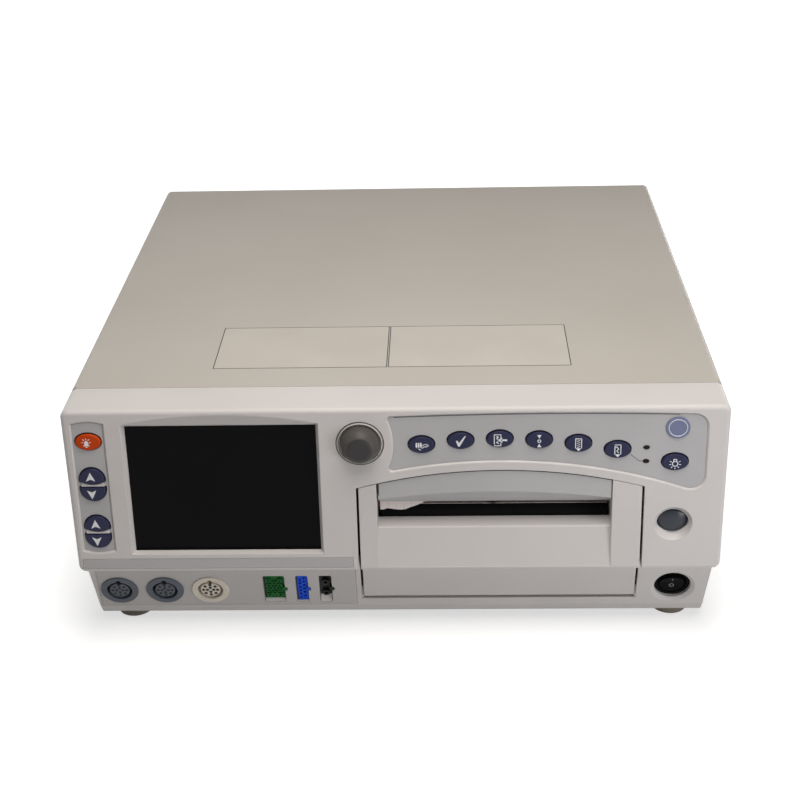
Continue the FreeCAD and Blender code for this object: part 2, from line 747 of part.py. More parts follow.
def screen_cut():
    deep = SCREEN_DEPTH
    front = [V(SCREEN_LEFT, 0, SCREEN_LOW), V(SCREEN_RIGHT, 0, SCREEN_LOW),
             V(SCREEN_RIGHT, 0, SCREEN_HIGH), V(SCREEN_LEFT, 0, SCREEN_HIGH)]
    back = [V(SCREEN_LEFT + BEVEL_SIDE, deep, SCREEN_LOW + BEVEL_LOW),
            V(SCREEN_RIGHT - BEVEL_SIDE, deep, SCREEN_LOW + BEVEL_LOW),
            V(SCREEN_RIGHT - BEVEL_SIDE, deep, SCREEN_HIGH - BEVEL_HIGH),
            V(SCREEN_LEFT + BEVEL_SIDE, deep, SCREEN_HIGH - BEVEL_HIGH)]
    wires = [Part.makePolygon(points + [points[0]]) for points in (front, back)]
    window = Part.makeLoft(wires, True, True)
    middle = (SCREEN_LEFT + SCREEN_RIGHT) / 2
    ends = [(SCREEN_LEFT, SCREEN_HIGH), (SCREEN_RIGHT, SCREEN_HIGH)]
    brow = front_face(arc(ends[0], (middle, SCREEN_HIGH + BROW_RISE), ends[1]), line(ends[1], ends[0]))
    return [window, brow.extrude(V(0, SCREEN_DEPTH, -BROW_RISE - BEVEL_HIGH))]


def ear_spans():
    """Both x spans of the ears that carry the door's hinge pins."""
    return [(DOOR_LEFT - EAR_GAP - EAR, DOOR_LEFT - EAR_GAP),
            (DOOR_RIGHT + EAR_GAP, DOOR_RIGHT + EAR_GAP + EAR)]


def lug_spans():
    """Both z spans of the lugs that carry the latch pin."""
    half = LEVER_THICK / 2 + LUG_GAP
    return [(LATCH_Z - half - LUG, LATCH_Z - half), (LATCH_Z + half, LATCH_Z + half + LUG)]


def front_bezel():
    body = bezel_shell()
    pad = WINDOW_LAP + WALL
    added = [box(SCREEN_LEFT - pad, SCREEN_RIGHT + WINDOW_LAP, WALL / 2, SCREEN_DEPTH,
                 SCREEN_LOW - pad, SCREEN_HIGH + WINDOW_LAP)]
    added += [rod(x, WALL / 2, z, Y_AXIS, STANDOFF_RADIUS, BOARD_Y - WALL / 2) for x, z in board_bosses()]
    added.append(rod(LATCH_X, WALL / 2, LATCH_Z, Y_AXIS, DISH_RADIUS + WALL, DISH_DEPTH + WALL / 2))
    for z0, z1 in lug_spans():
        added.append(box(LEVER_PIVOT_X - LUG, LEVER_PIVOT_X + LUG, WALL / 2, LEVER_PIVOT_Y + LUG, z0, z1))
    cup = rod(0, WALL / 2, 0, Y_AXIS, SWITCH_DISH_RADIUS + WALL / 2, SWITCH_DISH_DEPTH + WALL / 2)
    added.append(tilted(cup, SWITCH_X, SOCKET_DROP))
    body = body.multiFuse(added)
    door_low = BARREL_Z - BARREL_RADIUS - BARREL_GAP
    mouth = under_arch(DOOR_LEFT - DOOR_GAP, DOOR_RIGHT + DOOR_GAP, door_low, 0)
    cuts = [prism_y(mouth, -PAST, BEZEL_DEPTH + PAST)]
    cuts += screen_cut() + key_holes(-PAST, WALL + PAST) + light_holes(-PAST, WALL + PAST)
    cuts += recess(function_outline) + recess(volume_outline)
    cuts.append(box(LEGEND_LEFT, CONNECTOR_RIGHT, -PAST, OVERLAY, LEDGE_Z + FRONT_EDGE_RADIUS, LEGEND_HIGH))
    cuts.append(prism_y(disc(KNOB_X, KNOB_Z, COLLAR_RADIUS), -PAST, WALL / 2))
    cuts.append(prism_y(disc(KNOB_X, KNOB_Z, COLLAR_RADIUS - 2 * COLLAR_WALL), -PAST, WALL + PAST))
    cuts.append(bowl(LATCH_X, LATCH_Z, DISH_RADIUS, DISH_DEPTH))
    cuts.append(prism_y(oval(LATCH_X, LATCH_Z, LATCH_A + KEY_GAP, LATCH_B + KEY_GAP), 0, DISH_DEPTH + WALL))
    pin_low = lug_spans()[0][0] - PAST
    pin_high = lug_spans()[1][1] + PAST
    pin_radius = LEVER_PIN_RADIUS + RUNNING / 2
    cuts.append(rod(LEVER_PIVOT_X, LEVER_PIVOT_Y, pin_low, Z_AXIS, pin_radius, pin_high - pin_low))
    plate = box(CONNECTOR_LEFT, CONNECTOR_RIGHT, -PAST, CONNECTOR_PLATE, CONNECTOR_PLATE - PANEL_SLOPE, 0)
    cuts.append(tilted(plate, 0, 0))
    cuts += socket_holes(-PAST, 2 * WALL)
    cuts += [tilted(c, SWITCH_X, SOCKET_DROP) for c in switch_cuts()]
    body = body.cut(cuts)
    ears = []
    wall_end = panel_y(BARREL_Z) + WALL / 2
    for x0, x1 in ear_spans():
        ears.append(box(x0, x1, wall_end, BARREL_Y + BARREL_RADIUS,
                        BARREL_Z - BARREL_RADIUS, BARREL_Z + BARREL_RADIUS))
    body = body.multiFuse(ears)
    pin_left = ear_spans()[0][0] - PAST
    pin_right = ear_spans()[1][1] + PAST
    pin_radius = HINGE_PIN_RADIUS + RUNNING / 2
    body = body.cut(rod(pin_left, BARREL_Y, BARREL_Z, X_AXIS, pin_radius, pin_right - pin_left))
    return body.removeSplitter()


def socket_holes(y0, y1):
    bore = rod(0, y0, 0, Y_AXIS, SOCKET_BODY_RADIUS + FIT_GAP, y1 - y0)
    holes = [tilted(bore, x, SOCKET_DROP) for x in SOCKET_X]
    for name, x in SLOT_X.items():
        holes.append(tilted(slot_block(SLOT_WIDTHS[name], FIT_GAP, y0, y1), x, SOCKET_DROP))
    return holes


def slot_block(width, grow, y0, y1):
    """Upright oblong with a polarising nub on its right side, drawn at the origin."""
    face = rounded(0, 0, width + 2 * grow, SLOT_HEIGHT + 2 * grow, SLOT_CORNER + grow)
    nub = disc(width / 2, 0, SLOT_NUB_RADIUS + grow)
    return join(prism_y(face, y0, y1), prism_y(nub, y0, y1))


def switch_cuts():
    """Dish, flange seat and body hole of the power switch, drawn at the origin."""
    return [bowl(0, 0, SWITCH_DISH_RADIUS, SWITCH_DISH_DEPTH),
            rod(0, 0, 0, Y_AXIS, SWITCH_FLANGE_RADIUS + FIT_GAP, SWITCH_DISH_DEPTH),
            rod(0, 0, 0, Y_AXIS, SWITCH_BODY_RADIUS + FIT_GAP, SWITCH_DISH_DEPTH + 2 * WALL)]


def top_cover():
    front = BEZEL_DEPTH + SEAM_GAP
    low = SPLIT_Z + SEAM_GAP
    outer = housing_slab(0, low, HEIGHT, front, COVER_DEPTH)
    outer = fillet(outer, LONG_EDGE_RADIUS, lambda e: along(e, Y_AXIS) and near(e.Vertexes[0].Z, HEIGHT))
    outer = fillet(outer, BACK_EDGE_RADIUS,
                   lambda e: near(e.BoundBox.YMin, COVER_DEPTH) and not near(e.BoundBox.ZMax, low))
    cuts = [housing_slab(WALL, low - PAST, HEIGHT - WALL, front - PAST, COVER_DEPTH + PAST)]
    for side in (-1, 1):
        x = side * (WIDTH / 2 - NOTCH_WIDTH / 2)
        cuts.append(box(x - NOTCH_WIDTH / 2, x + NOTCH_WIDTH / 2, front - PAST, front + NOTCH_DEPTH,
                        HEIGHT - LONG_EDGE_RADIUS, HEIGHT + PAST))
    return outer.cut(cuts)


def foot_places():
    side = half_width(FOOT_HEIGHT) - FOOT_INSET_X + FOOT_RADIUS / 2
    return [(sx * side, y) for sx in (-1, 1)
            for y in (BEZEL_DEPTH + FOOT_INSET_Y, COVER_DEPTH - FOOT_INSET_Y - FOOT_RADIUS)]


def base_pan():
    front = BEZEL_DEPTH + SEAM_GAP
    outer = housing_slab(0, FOOT_HEIGHT, SPLIT_Z, front, COVER_DEPTH)
    outer = fillet(outer, BACK_EDGE_RADIUS,
                   lambda e: near(e.BoundBox.YMin, COVER_DEPTH) and not near(e.BoundBox.ZMin, SPLIT_Z))
    inner = housing_slab(WALL, FLOOR_Z, SPLIT_Z + PAST, front - PAST, COVER_DEPTH + PAST)
    body = outer.cut(inner)
    pillars = [rod(x, y, FOOT_HEIGHT + WALL / 2, Z_AXIS, STANDOFF_RADIUS, STANDOFF + WALL / 2)
               for x, y in main_board_pillars()]
    body = body.multiFuse(pillars)
    slots = []
    half = VENT_LENGTH / 2
    for i in range(VENT_COUNT):
        y = SPEAKER_Y + (i - (VENT_COUNT - 1) / 2) * GRILLE_PITCH
        slots.append(box(SPEAKER_X - half, SPEAKER_X + half, y - GRILLE_WIDTH / 2, y + GRILLE_WIDTH / 2,
                         0, FLOOR_Z + PAST))
    return body.cut(slots).removeSplitter()


def rubber_feet():
    feet = []
    for x, y in foot_places():
        feet.append(Part.makeCone(FOOT_RADIUS - FOOT_TAPER, FOOT_RADIUS, FOOT_HEIGHT, V(x, y, 0), Z_AXIS))
    return Part.makeCompound(feet)


def rear_panel():
    clear = WALL + FIT_GAP
    plate = housing_slab(clear, FLOOR_Z + FIT_GAP, HEIGHT - clear, REAR_Y - REAR_PLATE, REAR_Y)
    cuts = [prism_y(inlet_face(FIT_GAP - INLET_CASE_GAP), 0, COVER_DEPTH)]
    cuts.append(rod(POST_X, 0, POST_Z, Y_AXIS, POST_RADIUS + FIT_GAP, COVER_DEPTH))
    half_x = DATA_SHELL_TOP + DATA_NUT_RADIUS
    half_z = DATA_SHELL_HALF + DATA_PLATE
    cuts += [box(x - half_x, x + half_x, 0, COVER_DEPTH, DATA_Z - half_z, DATA_Z + half_z) for x in DATA_X]
    cuts += [rod(x, 0, z, Y_AXIS, SCREW_RADIUS + FIT_GAP / 2, COVER_DEPTH) for x, z in rear_screw_places()]
    for i in range(VENT_COUNT):
        x = (i - (VENT_COUNT - 1) / 2) * VENT_PITCH
        cuts.append(box(x - VENT_WIDTH / 2, x + VENT_WIDTH / 2, 0, COVER_DEPTH,
                        HEIGHT / 2, HEIGHT / 2 + VENT_LENGTH))
    return plate.cut(cuts)


def rear_screw_places():
    side = half_width(HEIGHT / 2) - WALL - 4 * SCREW_HEAD_RADIUS
    return [(sx * side, z) for sx in (-1, 1) for z in (HEIGHT / 4, HEIGHT - WALL - 4 * SCREW_HEAD_RADIUS)]


def housing_screws():
    screws = []
    for x, z in rear_screw_places():
        head = rod(x, REAR_Y, z, Y_AXIS, SCREW_HEAD_RADIUS, SCREW_HEAD)
        shank = rod(x, REAR_Y - SCREW_LENGTH, z, Y_AXIS, SCREW_RADIUS, SCREW_LENGTH)
        screws.append(join(head, shank))
    return Part.makeCompound(screws)


# Display and keys

def display_window():
    lap = WINDOW_LAP - FIT_GAP
    return box(SCREEN_LEFT - lap, SCREEN_RIGHT + lap, SCREEN_DEPTH, SCREEN_DEPTH + GLASS,
               SCREEN_LOW - lap, SCREEN_HIGH + lap)


def display_module():
    y = SCREEN_DEPTH + GLASS
    case = box(SCREEN_LEFT - WINDOW_LAP, SCREEN_RIGHT + WINDOW_LAP, y, y + DISPLAY_THICK,
               SCREEN_LOW - WINDOW_LAP, SCREEN_HIGH + WINDOW_LAP)
    case = fillet(case, DISPLAY_CORNER, lambda e: along(e, Y_AXIS))
    board = box(SCREEN_LEFT + 2 * WINDOW_LAP, SCREEN_RIGHT - 2 * WINDOW_LAP, y + DISPLAY_THICK,
                y + DISPLAY_THICK + BOARD, SCREEN_LOW, SCREEN_HIGH - 2 * WINDOW_LAP)
    return join(case, board)


def function_key_panel():
    sheet = prism_y(function_outline(FIT_GAP), RECESS - OVERLAY, RECESS)
    return sheet.cut(key_holes(-PAST, WALL) + light_holes(-PAST, WALL))


def volume_key_panel():
    sheet = prism_y(volume_outline(FIT_GAP), RECESS - OVERLAY, RECESS)
    return sheet.cut(key_holes(-PAST, WALL))


def key(name):
    face = KEYS[name]
    cap = prism_y(face, -KEY_PROUD, KEY_BACK)
    cap = fillet(cap, KEY_DOME, lambda e: near(e.BoundBox.YMax, -KEY_PROUD))
    flange = prism_y(grown(face, KEY_FLANGE), WALL + KEY_GAP, KEY_BACK)
    middle = face.CenterOfMass
    stem = rod(middle.x, KEY_BACK - PAST, middle.z, Y_AXIS, KEY_STEM_RADIUS, STEM_END - KEY_BACK + PAST)
    return join(cap, flange, stem)


def key_boards():
    low = arch_z(ARCH_X, ARCH_BAND) + KEY_FLANGE
    right = FUNCTION_RIGHT - PAST
    wide = box(KNOB_X - 2 * ENCODER_HALF, right, BOARD_Y, BOARD_Y + BOARD, low, FUNCTION_TOP)
    x, z = FUNCTION_KEYS["light_key"]
    wing = box(x - 2 * KEY_A, right, BOARD_Y, BOARD_Y + BOARD, z - KEY_B - SWITCH_RADIUS, low + PAST)
    narrow = box(VOLUME_X - VOLUME_HALF_WIDTH, VOLUME_X + VOLUME_HALF_WIDTH, BOARD_Y, BOARD_Y + BOARD,
                 VOLUME_LOW - VOLUME_CROWN - 2 * STANDOFF_RADIUS, VOLUME_HIGH + 3 * STANDOFF_RADIUS / 2)
    switches = {True: [], False: []}
    for name, face in KEYS.items():
        middle = face.CenterOfMass
        dome = rod(middle.x, BOARD_Y - SWITCH_HEIGHT, middle.z, Y_AXIS, SWITCH_RADIUS,
                   SWITCH_HEIGHT + BOARD / 2)
        switches[name in FUNCTION_KEYS].append(dome)
    return Part.makeCompound([join(wide, wing, *switches[True]), join(narrow, *switches[False])])


def status_lights():
    front = RECESS - OVERLAY - SEAM_GAP
    return Part.makeCompound([prism_y(oval(x, z, LIGHT_A, LIGHT_B), front, BOARD_Y) for x, z in lamp_places()])


def round_badge():
    seat = RECESS - OVERLAY
    x, z = FUNCTION_KEYS["light_key"]
    plate = prism_y(disc(x + BADGE_SHIFT, z + BADGE_RISE, BADGE_RADIUS), seat - BADGE_THICK, seat)
    return fillet(plate, BADGE_THICK / 2, lambda e: near(e.BoundBox.YMax, seat - BADGE_THICK))


# Trim knob

def knob_collar():
    seat = WALL / 2
    outer = COLLAR_RADIUS - SEAM_GAP
    ring = rod(KNOB_X, -COLLAR_PROUD, KNOB_Z, Y_AXIS, outer, seat + COLLAR_PROUD)
    ring = ring.cut(prism_y(disc(KNOB_X, KNOB_Z, outer - COLLAR_WALL), -COLLAR_PROUD - PAST, WALL))
    return fillet(ring, COLLAR_PROUD / 2, lambda e: near(e.BoundBox.YMax, -COLLAR_PROUD))


def shaft_section(radius, flat):
    """Round shaft with one flat, as a face at y = 0."""
    round_bar = rod(KNOB_X, 0, KNOB_Z, Y_AXIS, radius, radius)
    bar = round_bar.cut(box(KNOB_X - radius, KNOB_X + radius, -radius, 2 * radius,
                            KNOB_Z + flat, KNOB_Z + 2 * radius))
    return [f for f in bar.Faces if near(f.CenterOfMass.y, 0)][0]


def trim_knob():
    foot = KNOB_SKIRT
    face_y = -KNOB_PROUD
    neck = (KNOB_RADIUS + 2 * KNOB_FACE_RADIUS) / 3
    lip = face_y + 2 * KNOB_SKIRT
    rim = V(KNOB_RADIUS, -foot, 0)
    belly = V((KNOB_RADIUS + neck) / 2 + 2 * KNOB_SKIRT, face_y / 2, 0)
    section = [Part.LineSegment(V(0, foot, 0), V(KNOB_RADIUS, foot, 0)).toShape(),
               Part.LineSegment(V(KNOB_RADIUS, foot, 0), rim).toShape(),
               Part.Arc(rim, belly, V(neck, lip, 0)).toShape(),
               Part.LineSegment(V(neck, lip, 0), V(KNOB_FACE_RADIUS, face_y, 0)).toShape(),
               Part.LineSegment(V(KNOB_FACE_RADIUS, face_y, 0), V(0, face_y, 0)).toShape(),
               Part.LineSegment(V(0, face_y, 0), V(0, foot, 0)).toShape()]
    grip = Part.Face(Part.Wire(section)).revolve(V(0, 0, 0), Y_AXIS, 360)
    grip = grip.translated(V(KNOB_X, 0, KNOB_Z))
    shaft = prism_y(shaft_section(SHAFT_RADIUS, SHAFT_FLAT), 0, BOARD_Y - KNOB_TRAVEL - KEY_GAP)
    return join(grip, shaft)


def encoder_rotor():
    tube = prism_y(disc(KNOB_X, KNOB_Z, ROTOR_RADIUS), WALL + KNOB_TRAVEL + FIT_GAP, BOARD_Y - FIT_GAP)
    hole = prism_y(shaft_section(SHAFT_RADIUS + RUNNING, SHAFT_FLAT + RUNNING), 0, BOARD_Y + PAST)
    return tube.cut(hole)


def knob_encoder():
    case = box(KNOB_X - ENCODER_HALF, KNOB_X + ENCODER_HALF, WALL + KNOB_TRAVEL + FIT_GAP, BOARD_Y,
               KNOB_Z - ENCODER_HALF, KNOB_Z + ENCODER_HALF)
    case = fillet(case, DISPLAY_CORNER, lambda e: along(e, Y_AXIS))
    return case.cut(rod(KNOB_X, 0, KNOB_Z, Y_AXIS, ROTOR_RADIUS + RUNNING, BOARD_Y + PAST))


# Recorder

def door_skin():
    """Side section of the door's apron, ledge and lower face."""
    wall = DOOR_WALL
    back = wall / cos(PANEL_TILT)
    return [(SILL_FRONT_Y, SILL_FRONT_Z), (SILL_BACK_Y, SILL_BACK_Z), (SILL_BACK_Y, SILL_BACK_Z - wall),
            (SILL_FRONT_Y + wall, SILL_FRONT_Z - wall), (wall, LEDGE_Z + wall),
            (panel_y(LEDGE_Z + wall) + back, LEDGE_Z + wall), (panel_y(BARREL_Z) + back, BARREL_Z),
            (panel_y(BARREL_Z), BARREL_Z), (LEDGE_DEPTH, LEDGE_Z), (0, LEDGE_Z)]


def upright(x0, x1):
    """Front wall of one upright, cut to the arch."""
    return prism_y(under_arch(x0, x1, LEDGE_Z, -ARCH_GAP), 0, DOOR_WALL)


def cheek(x0, x1):
    """Side plate that holds one end of the platen shaft."""
    high = CHEEK_TOP + 2 * PLATEN_RADIUS
    return prism_x([(0, LEDGE_Z), (DOOR_WALL, LEDGE_Z), (CHEEK_BACK, CHEEK_LOW), (CHEEK_BACK, CHEEK_TOP),
                    (DOOR_WALL, high), (0, high)], x0, x1)


def hook_span():
    """Front and back of the latch lever's hook, which the door's notch takes."""
    return LEVER_PIVOT_Y - 3 * LEVER_THICK, LEVER_PIVOT_Y - 2 * LEVER_THICK


def recorder_door():
    wall = DOOR_WALL
    lower = prism_x(door_skin()[5:9] + [(LEDGE_DEPTH, LEDGE_Z + wall)], DOOR_LEFT, DOOR_RIGHT)
    ledge = box(DOOR_LEFT, DOOR_RIGHT, 0, panel_y(LEDGE_Z) + wall, LEDGE_Z, LEDGE_Z + wall)
    apron = prism_x(door_skin(), UPRIGHT_LEFT, UPRIGHT_RIGHT)
    apron = fillet(apron, SILL_RADIUS, lambda e: along(e, X_AXIS) and near(e.Vertexes[0].Z, SILL_FRONT_Z))
    barrel = rod(DOOR_LEFT, BARREL_Y, BARREL_Z, X_AXIS, BARREL_RADIUS, DOOR_RIGHT - DOOR_LEFT)
    sides = [upright(DOOR_LEFT, UPRIGHT_LEFT), upright(UPRIGHT_RIGHT, DOOR_RIGHT)]
    sides += [cheek(UPRIGHT_LEFT - wall, UPRIGHT_LEFT), cheek(UPRIGHT_RIGHT, UPRIGHT_RIGHT + wall)]
    top = arch_z(DOOR_LEFT, -ARCH_GAP) - wall
    flange = DOOR_FLANGE_WALL
    sides.append(box(DOOR_LEFT, DOOR_LEFT + flange, 0, DOOR_FLANGE, LEDGE_Z, top))
    sides.append(box(DOOR_RIGHT - flange, DOOR_RIGHT, 0, DOOR_FLANGE, LEDGE_Z, top))
    body = join(lower, ledge, apron, barrel, *sides)
    body = body.cut(ledge_corner())
    hole = PLATEN_SHAFT_RADIUS + RUNNING
    pin = HINGE_PIN_RADIUS + RUNNING
    reach = HINGE_PIN_REACH + EAR_GAP
    hook_y0, hook_y1 = hook_span()
    notch = box(DOOR_RIGHT - flange - PAST, DOOR_RIGHT + PAST, hook_y0 - LATCH_CLEARANCE,
                hook_y1 + LATCH_CLEARANCE, LATCH_Z - LEVER_THICK, LATCH_Z + LEVER_THICK)
    return body.cut([rod(DOOR_LEFT, PLATEN_Y, PLATEN_Z, X_AXIS, hole, DOOR_RIGHT - DOOR_LEFT - wall),
                     rod(DOOR_LEFT - PAST, BARREL_Y, BARREL_Z, X_AXIS, pin, reach + PAST),
                     rod(DOOR_RIGHT - reach, BARREL_Y, BARREL_Z, X_AXIS, pin, reach + PAST), notch])


def recorder_visor():
    left = VISOR_LEFT
    right = VISOR_RIGHT
    middle = (left + right) / 2
    tops = [(x, arch_z(x, -ARCH_GAP)) for x in (left, middle, right)]
    lip_z = VISOR_EDGE_Z + VISOR_LIP_END
    lip = [(left, lip_z), (middle, lip_z + VISOR_LIP_RISE), (right, lip_z)]
    edge = [(left, VISOR_EDGE_Z), (middle, VISOR_EDGE_Z), (right, VISOR_EDGE_Z)]
    sections = []
    for low, y in ((lip, VISOR_SETBACK), (edge, VISOR_DEPTH)):
        bottom = arc(*low) if low is lip else line(low[0], low[2])
        wire = Part.Wire([arc(*tops), line(tops[2], low[2]), bottom, line(low[0], tops[0])])
        sections.append(wire.translated(Y_AXIS * y))
    hood = Part.makeLoft(sections, True, True)
    flange = under_arch(left, right, VISOR_EDGE_Z + WALL, VISOR_FLANGE).extrude(Y_AXIS * WALL)
    flange = flange.translated(Y_AXIS * WALL)
    below = prism_y(under_arch(left - PAST, right + PAST, 0, -ARCH_GAP - WALL), 0, 3 * WALL)
    return join(hood, flange.cut(below))


def platen_shaft():
    left = UPRIGHT_LEFT - DOOR_WALL - PAST
    return rod(left, PLATEN_Y, PLATEN_Z, X_AXIS, PLATEN_SHAFT_RADIUS, GEAR_X + GEAR_WIDTH - left)


def platen_roller():
    length = PLATEN_RIGHT - PLATEN_LEFT
    tube = rod(PLATEN_LEFT, PLATEN_Y, PLATEN_Z, X_AXIS, PLATEN_RADIUS, length)
    tube = fillet(tube, PAPER_MARGIN / 2, lambda e: len(e.Vertexes) == 1)
    bore = rod(PLATEN_LEFT - PAST, PLATEN_Y, PLATEN_Z, X_AXIS, PLATEN_SHAFT_RADIUS, length + 2 * PAST)
    return tube.cut(bore)


def gear(teeth, y, z, first, bore):
    """Spur gear along x with its first tooth at an angle from +y towards +z."""
    pitch = GEAR_MODULE * teeth / 2
    root = pitch - 1.25 * GEAR_MODULE
    tip = pitch + 0.85 * GEAR_MODULE
    points = []
    for i in range(teeth):
        middle = first + 2 * pi * i / teeth
        for radius, half in ((root, 0.78), (tip, 0.28), (tip, -0.28), (root, -0.78)):
            angle = middle - half * GEAR_MODULE / radius
            points.append(V(GEAR_X, y + radius * cos(angle), z + radius * sin(angle)))
    blank = polygon(points).extrude(X_AXIS * GEAR_WIDTH)
    return blank.cut(rod(GEAR_X - PAST, y, z, X_AXIS, bore, GEAR_WIDTH + 2 * PAST))


def idler_place():
    """Idler axis: straight behind the platen along the path by which the door leaves."""
    away = atan2(BARREL_Y - PLATEN_Y, PLATEN_Z - BARREL_Z)
    distance = GEAR_MODULE * (PLATEN_TEETH + IDLER_TEETH) / 2 + MESH_SLACK
    return PLATEN_Y + distance * cos(away), PLATEN_Z + distance * sin(away), away


def pinion_place():
    y, z, away = idler_place()
    distance = GEAR_MODULE * (IDLER_TEETH + PINION_TEETH) / 2 + MESH_SLACK
    return y + distance * cos(PINION_ANGLE), z + distance * sin(PINION_ANGLE)


def platen_gear():
    away = idler_place()[2]
    return gear(PLATEN_TEETH, PLATEN_Y, PLATEN_Z, away, PLATEN_SHAFT_RADIUS)


def idler_first():
    """Angle of an idler tooth, half a tooth off the line to the platen."""
    return idler_place()[2] + pi + pi / IDLER_TEETH


def idler_gear():
    y, z, away = idler_place()
    return gear(IDLER_TEETH, y, z, idler_first(), IDLER_PIN_RADIUS + RUNNING)


def motor_pinion():
    y, z = pinion_place()
    step = 2 * pi / IDLER_TEETH
    offset = (PINION_ANGLE - idler_first()) / step
    phase = (offset - round(offset)) * step * IDLER_TEETH / PINION_TEETH
    first = PINION_ANGLE + pi + pi / PINION_TEETH + phase
    return gear(PINION_TEETH, y, z, first, MOTOR_SHAFT_RADIUS + RUNNING)


def stepper_motor():
    y, z = pinion_place()
    back = FRAME_RIGHT + FRAME_PLATE
    can = rod(back, y, z, X_AXIS, MOTOR_RADIUS, MOTOR_LENGTH)
    can = fillet(can, MOTOR_ROUNDING, lambda e: near(e.BoundBox.XMin, back + MOTOR_LENGTH))
    ear = MOTOR_RADIUS + MOTOR_EAR
    flange = box(back, back + MOTOR_FLANGE, y - ear, y + ear, z - MOTOR_EAR_HALF, z + MOTOR_EAR_HALF)
    shaft = rod(GEAR_X, y, z, X_AXIS, MOTOR_SHAFT_RADIUS, back - GEAR_X + PAST)
    return join(can, flange, shaft)


def recorder_frame():
    low = FLOOR_Z
    plates = []
    side = [(FRAME_FRONT, low), (FRAME_BACK, low), (FRAME_BACK, FRAME_TOP - FRAME_BACK_DROP),
            (FRAME_BACK - FRAME_SLOPE, FRAME_TOP), (FRAME_FRONT, FRAME_TOP)]
    for x in (FRAME_LEFT, FRAME_RIGHT):
        plates.append(prism_x(side, x, x + FRAME_PLATE))
    floor = box(FRAME_LEFT, FRAME_RIGHT + FRAME_PLATE, FRAME_FRONT, FRAME_BACK, TRAY_Z - FRAME_PLATE, TRAY_Z)
    right = FRAME_RIGHT + FRAME_PLATE
    back = box(FRAME_LEFT, right, FRAME_BACK - FRAME_PLATE, FRAME_BACK, low, FRAME_REAR_TOP)
    y, z = pinion_place()
    idler_y, idler_z, away = idler_place()
    body = join(plates[0], plates[1], floor, back)
    shaft_hole = rod(FRAME_RIGHT - PAST, y, z, X_AXIS, 2 * MOTOR_SHAFT_RADIUS, 2 * FRAME_PLATE)
    pin_radius = IDLER_PIN_RADIUS + RUNNING / 2
    pin_hole = rod(FRAME_RIGHT - PAST, idler_y, idler_z, X_AXIS, pin_radius, 2 * FRAME_PLATE)
    return body.cut([shaft_hole, pin_hole])


def print_head():
    plate = box(PLATEN_LEFT, PLATEN_RIGHT, HEAD_Y, HEAD_Y + HEAD_THICK, HEAD_LOW, HEAD_HIGH)
    return fillet(plate, HEAD_ROUNDING, lambda e: along(e, X_AXIS) and near(e.Vertexes[0].Y, HEAD_Y))


def print_head_bar():
    """Bar behind the print head, with a raised end that passes over the idler."""
    y = HEAD_Y + HEAD_THICK
    end = GEAR_X - FRAME_PLATE
    bar = box(FRAME_LEFT + FRAME_PLATE, end, y, y + BAR_DEPTH, HEAD_HIGH - BAR_DEPTH, HEAD_HIGH)
    groove = box(PLATEN_LEFT, PLATEN_RIGHT - BAR_DEPTH, y + FRAME_PLATE, y + BAR_DEPTH - FRAME_PLATE,
                 HEAD_HIGH - BAR_DEPTH / 2, HEAD_HIGH + PAST)
    over = idler_place()[1] + GEAR_MODULE * (IDLER_TEETH / 2 + 2)
    riser = box(end - 2 * FRAME_PLATE, end, y, y + BAR_DEPTH, HEAD_HIGH - BAR_DEPTH, over + 2 * FRAME_PLATE)
    bridge = box(end - 2 * FRAME_PLATE, FRAME_RIGHT, y, y + BAR_DEPTH, over, over + 2 * FRAME_PLATE)
    return join(bar, riser, bridge).cut(groove)


def paper_strip():
    """Sheet from the pack up past the print head and over the platen, as a bent band."""
    inner = PLATEN_RADIUS + PAPER_GAP
    outer = inner + PAPER
    pack_top = TRAY_Z + PACK_HEIGHT
    turn = pack_top + PAPER_BEND
    x = PLATEN_LEFT

    def edge(a, b):
        return Part.LineSegment(V(x, *a), V(x, *b)).toShape()

    def bend(cy, cz, radius, start, stop):
        points = [V(x, cy + radius * cos(t), cz + radius * sin(t)) for t in (start, (start + stop) / 2, stop)]
        return Part.Arc(*points).toShape()

    cy = PAPER_Y + PAPER_BEND
    tip = PLATEN_Y - PAPER_TONGUE
    top = PLATEN_Z + inner
    edges = [edge((tip, top), (PLATEN_Y, top)), bend(PLATEN_Y, PLATEN_Z, inner, pi / 2, 0),
             edge((PAPER_Y, PLATEN_Z), (PAPER_Y, turn)), bend(cy, turn, PAPER_BEND, pi, 1.5 * pi),
             edge((cy, pack_top), (cy + PAPER_BEND, pack_top)),
             edge((cy + PAPER_BEND, pack_top), (cy + PAPER_BEND, pack_top + PAPER)),
             edge((cy + PAPER_BEND, pack_top + PAPER), (cy, pack_top + PAPER)),
             bend(cy, turn, PAPER_BEND - PAPER, 1.5 * pi, pi),
             edge((HEAD_Y, turn), (HEAD_Y, PLATEN_Z)), bend(PLATEN_Y, PLATEN_Z, outer, 0, pi / 2),
             edge((PLATEN_Y, PLATEN_Z + outer), (tip, PLATEN_Z + outer)),
             edge((tip, PLATEN_Z + outer), (tip, top))]
    band = Part.Face(Part.Wire(edges))
    return band.extrude(X_AXIS * (PLATEN_RIGHT - PLATEN_LEFT))


def chart_paper():
    start = PAPER_Y + PAPER_BEND
    pack = box(PLATEN_LEFT, PLATEN_RIGHT, start, start + PACK_DEPTH, TRAY_Z, TRAY_Z + PACK_HEIGHT)
    return Part.makeCompound([pack, paper_strip()])


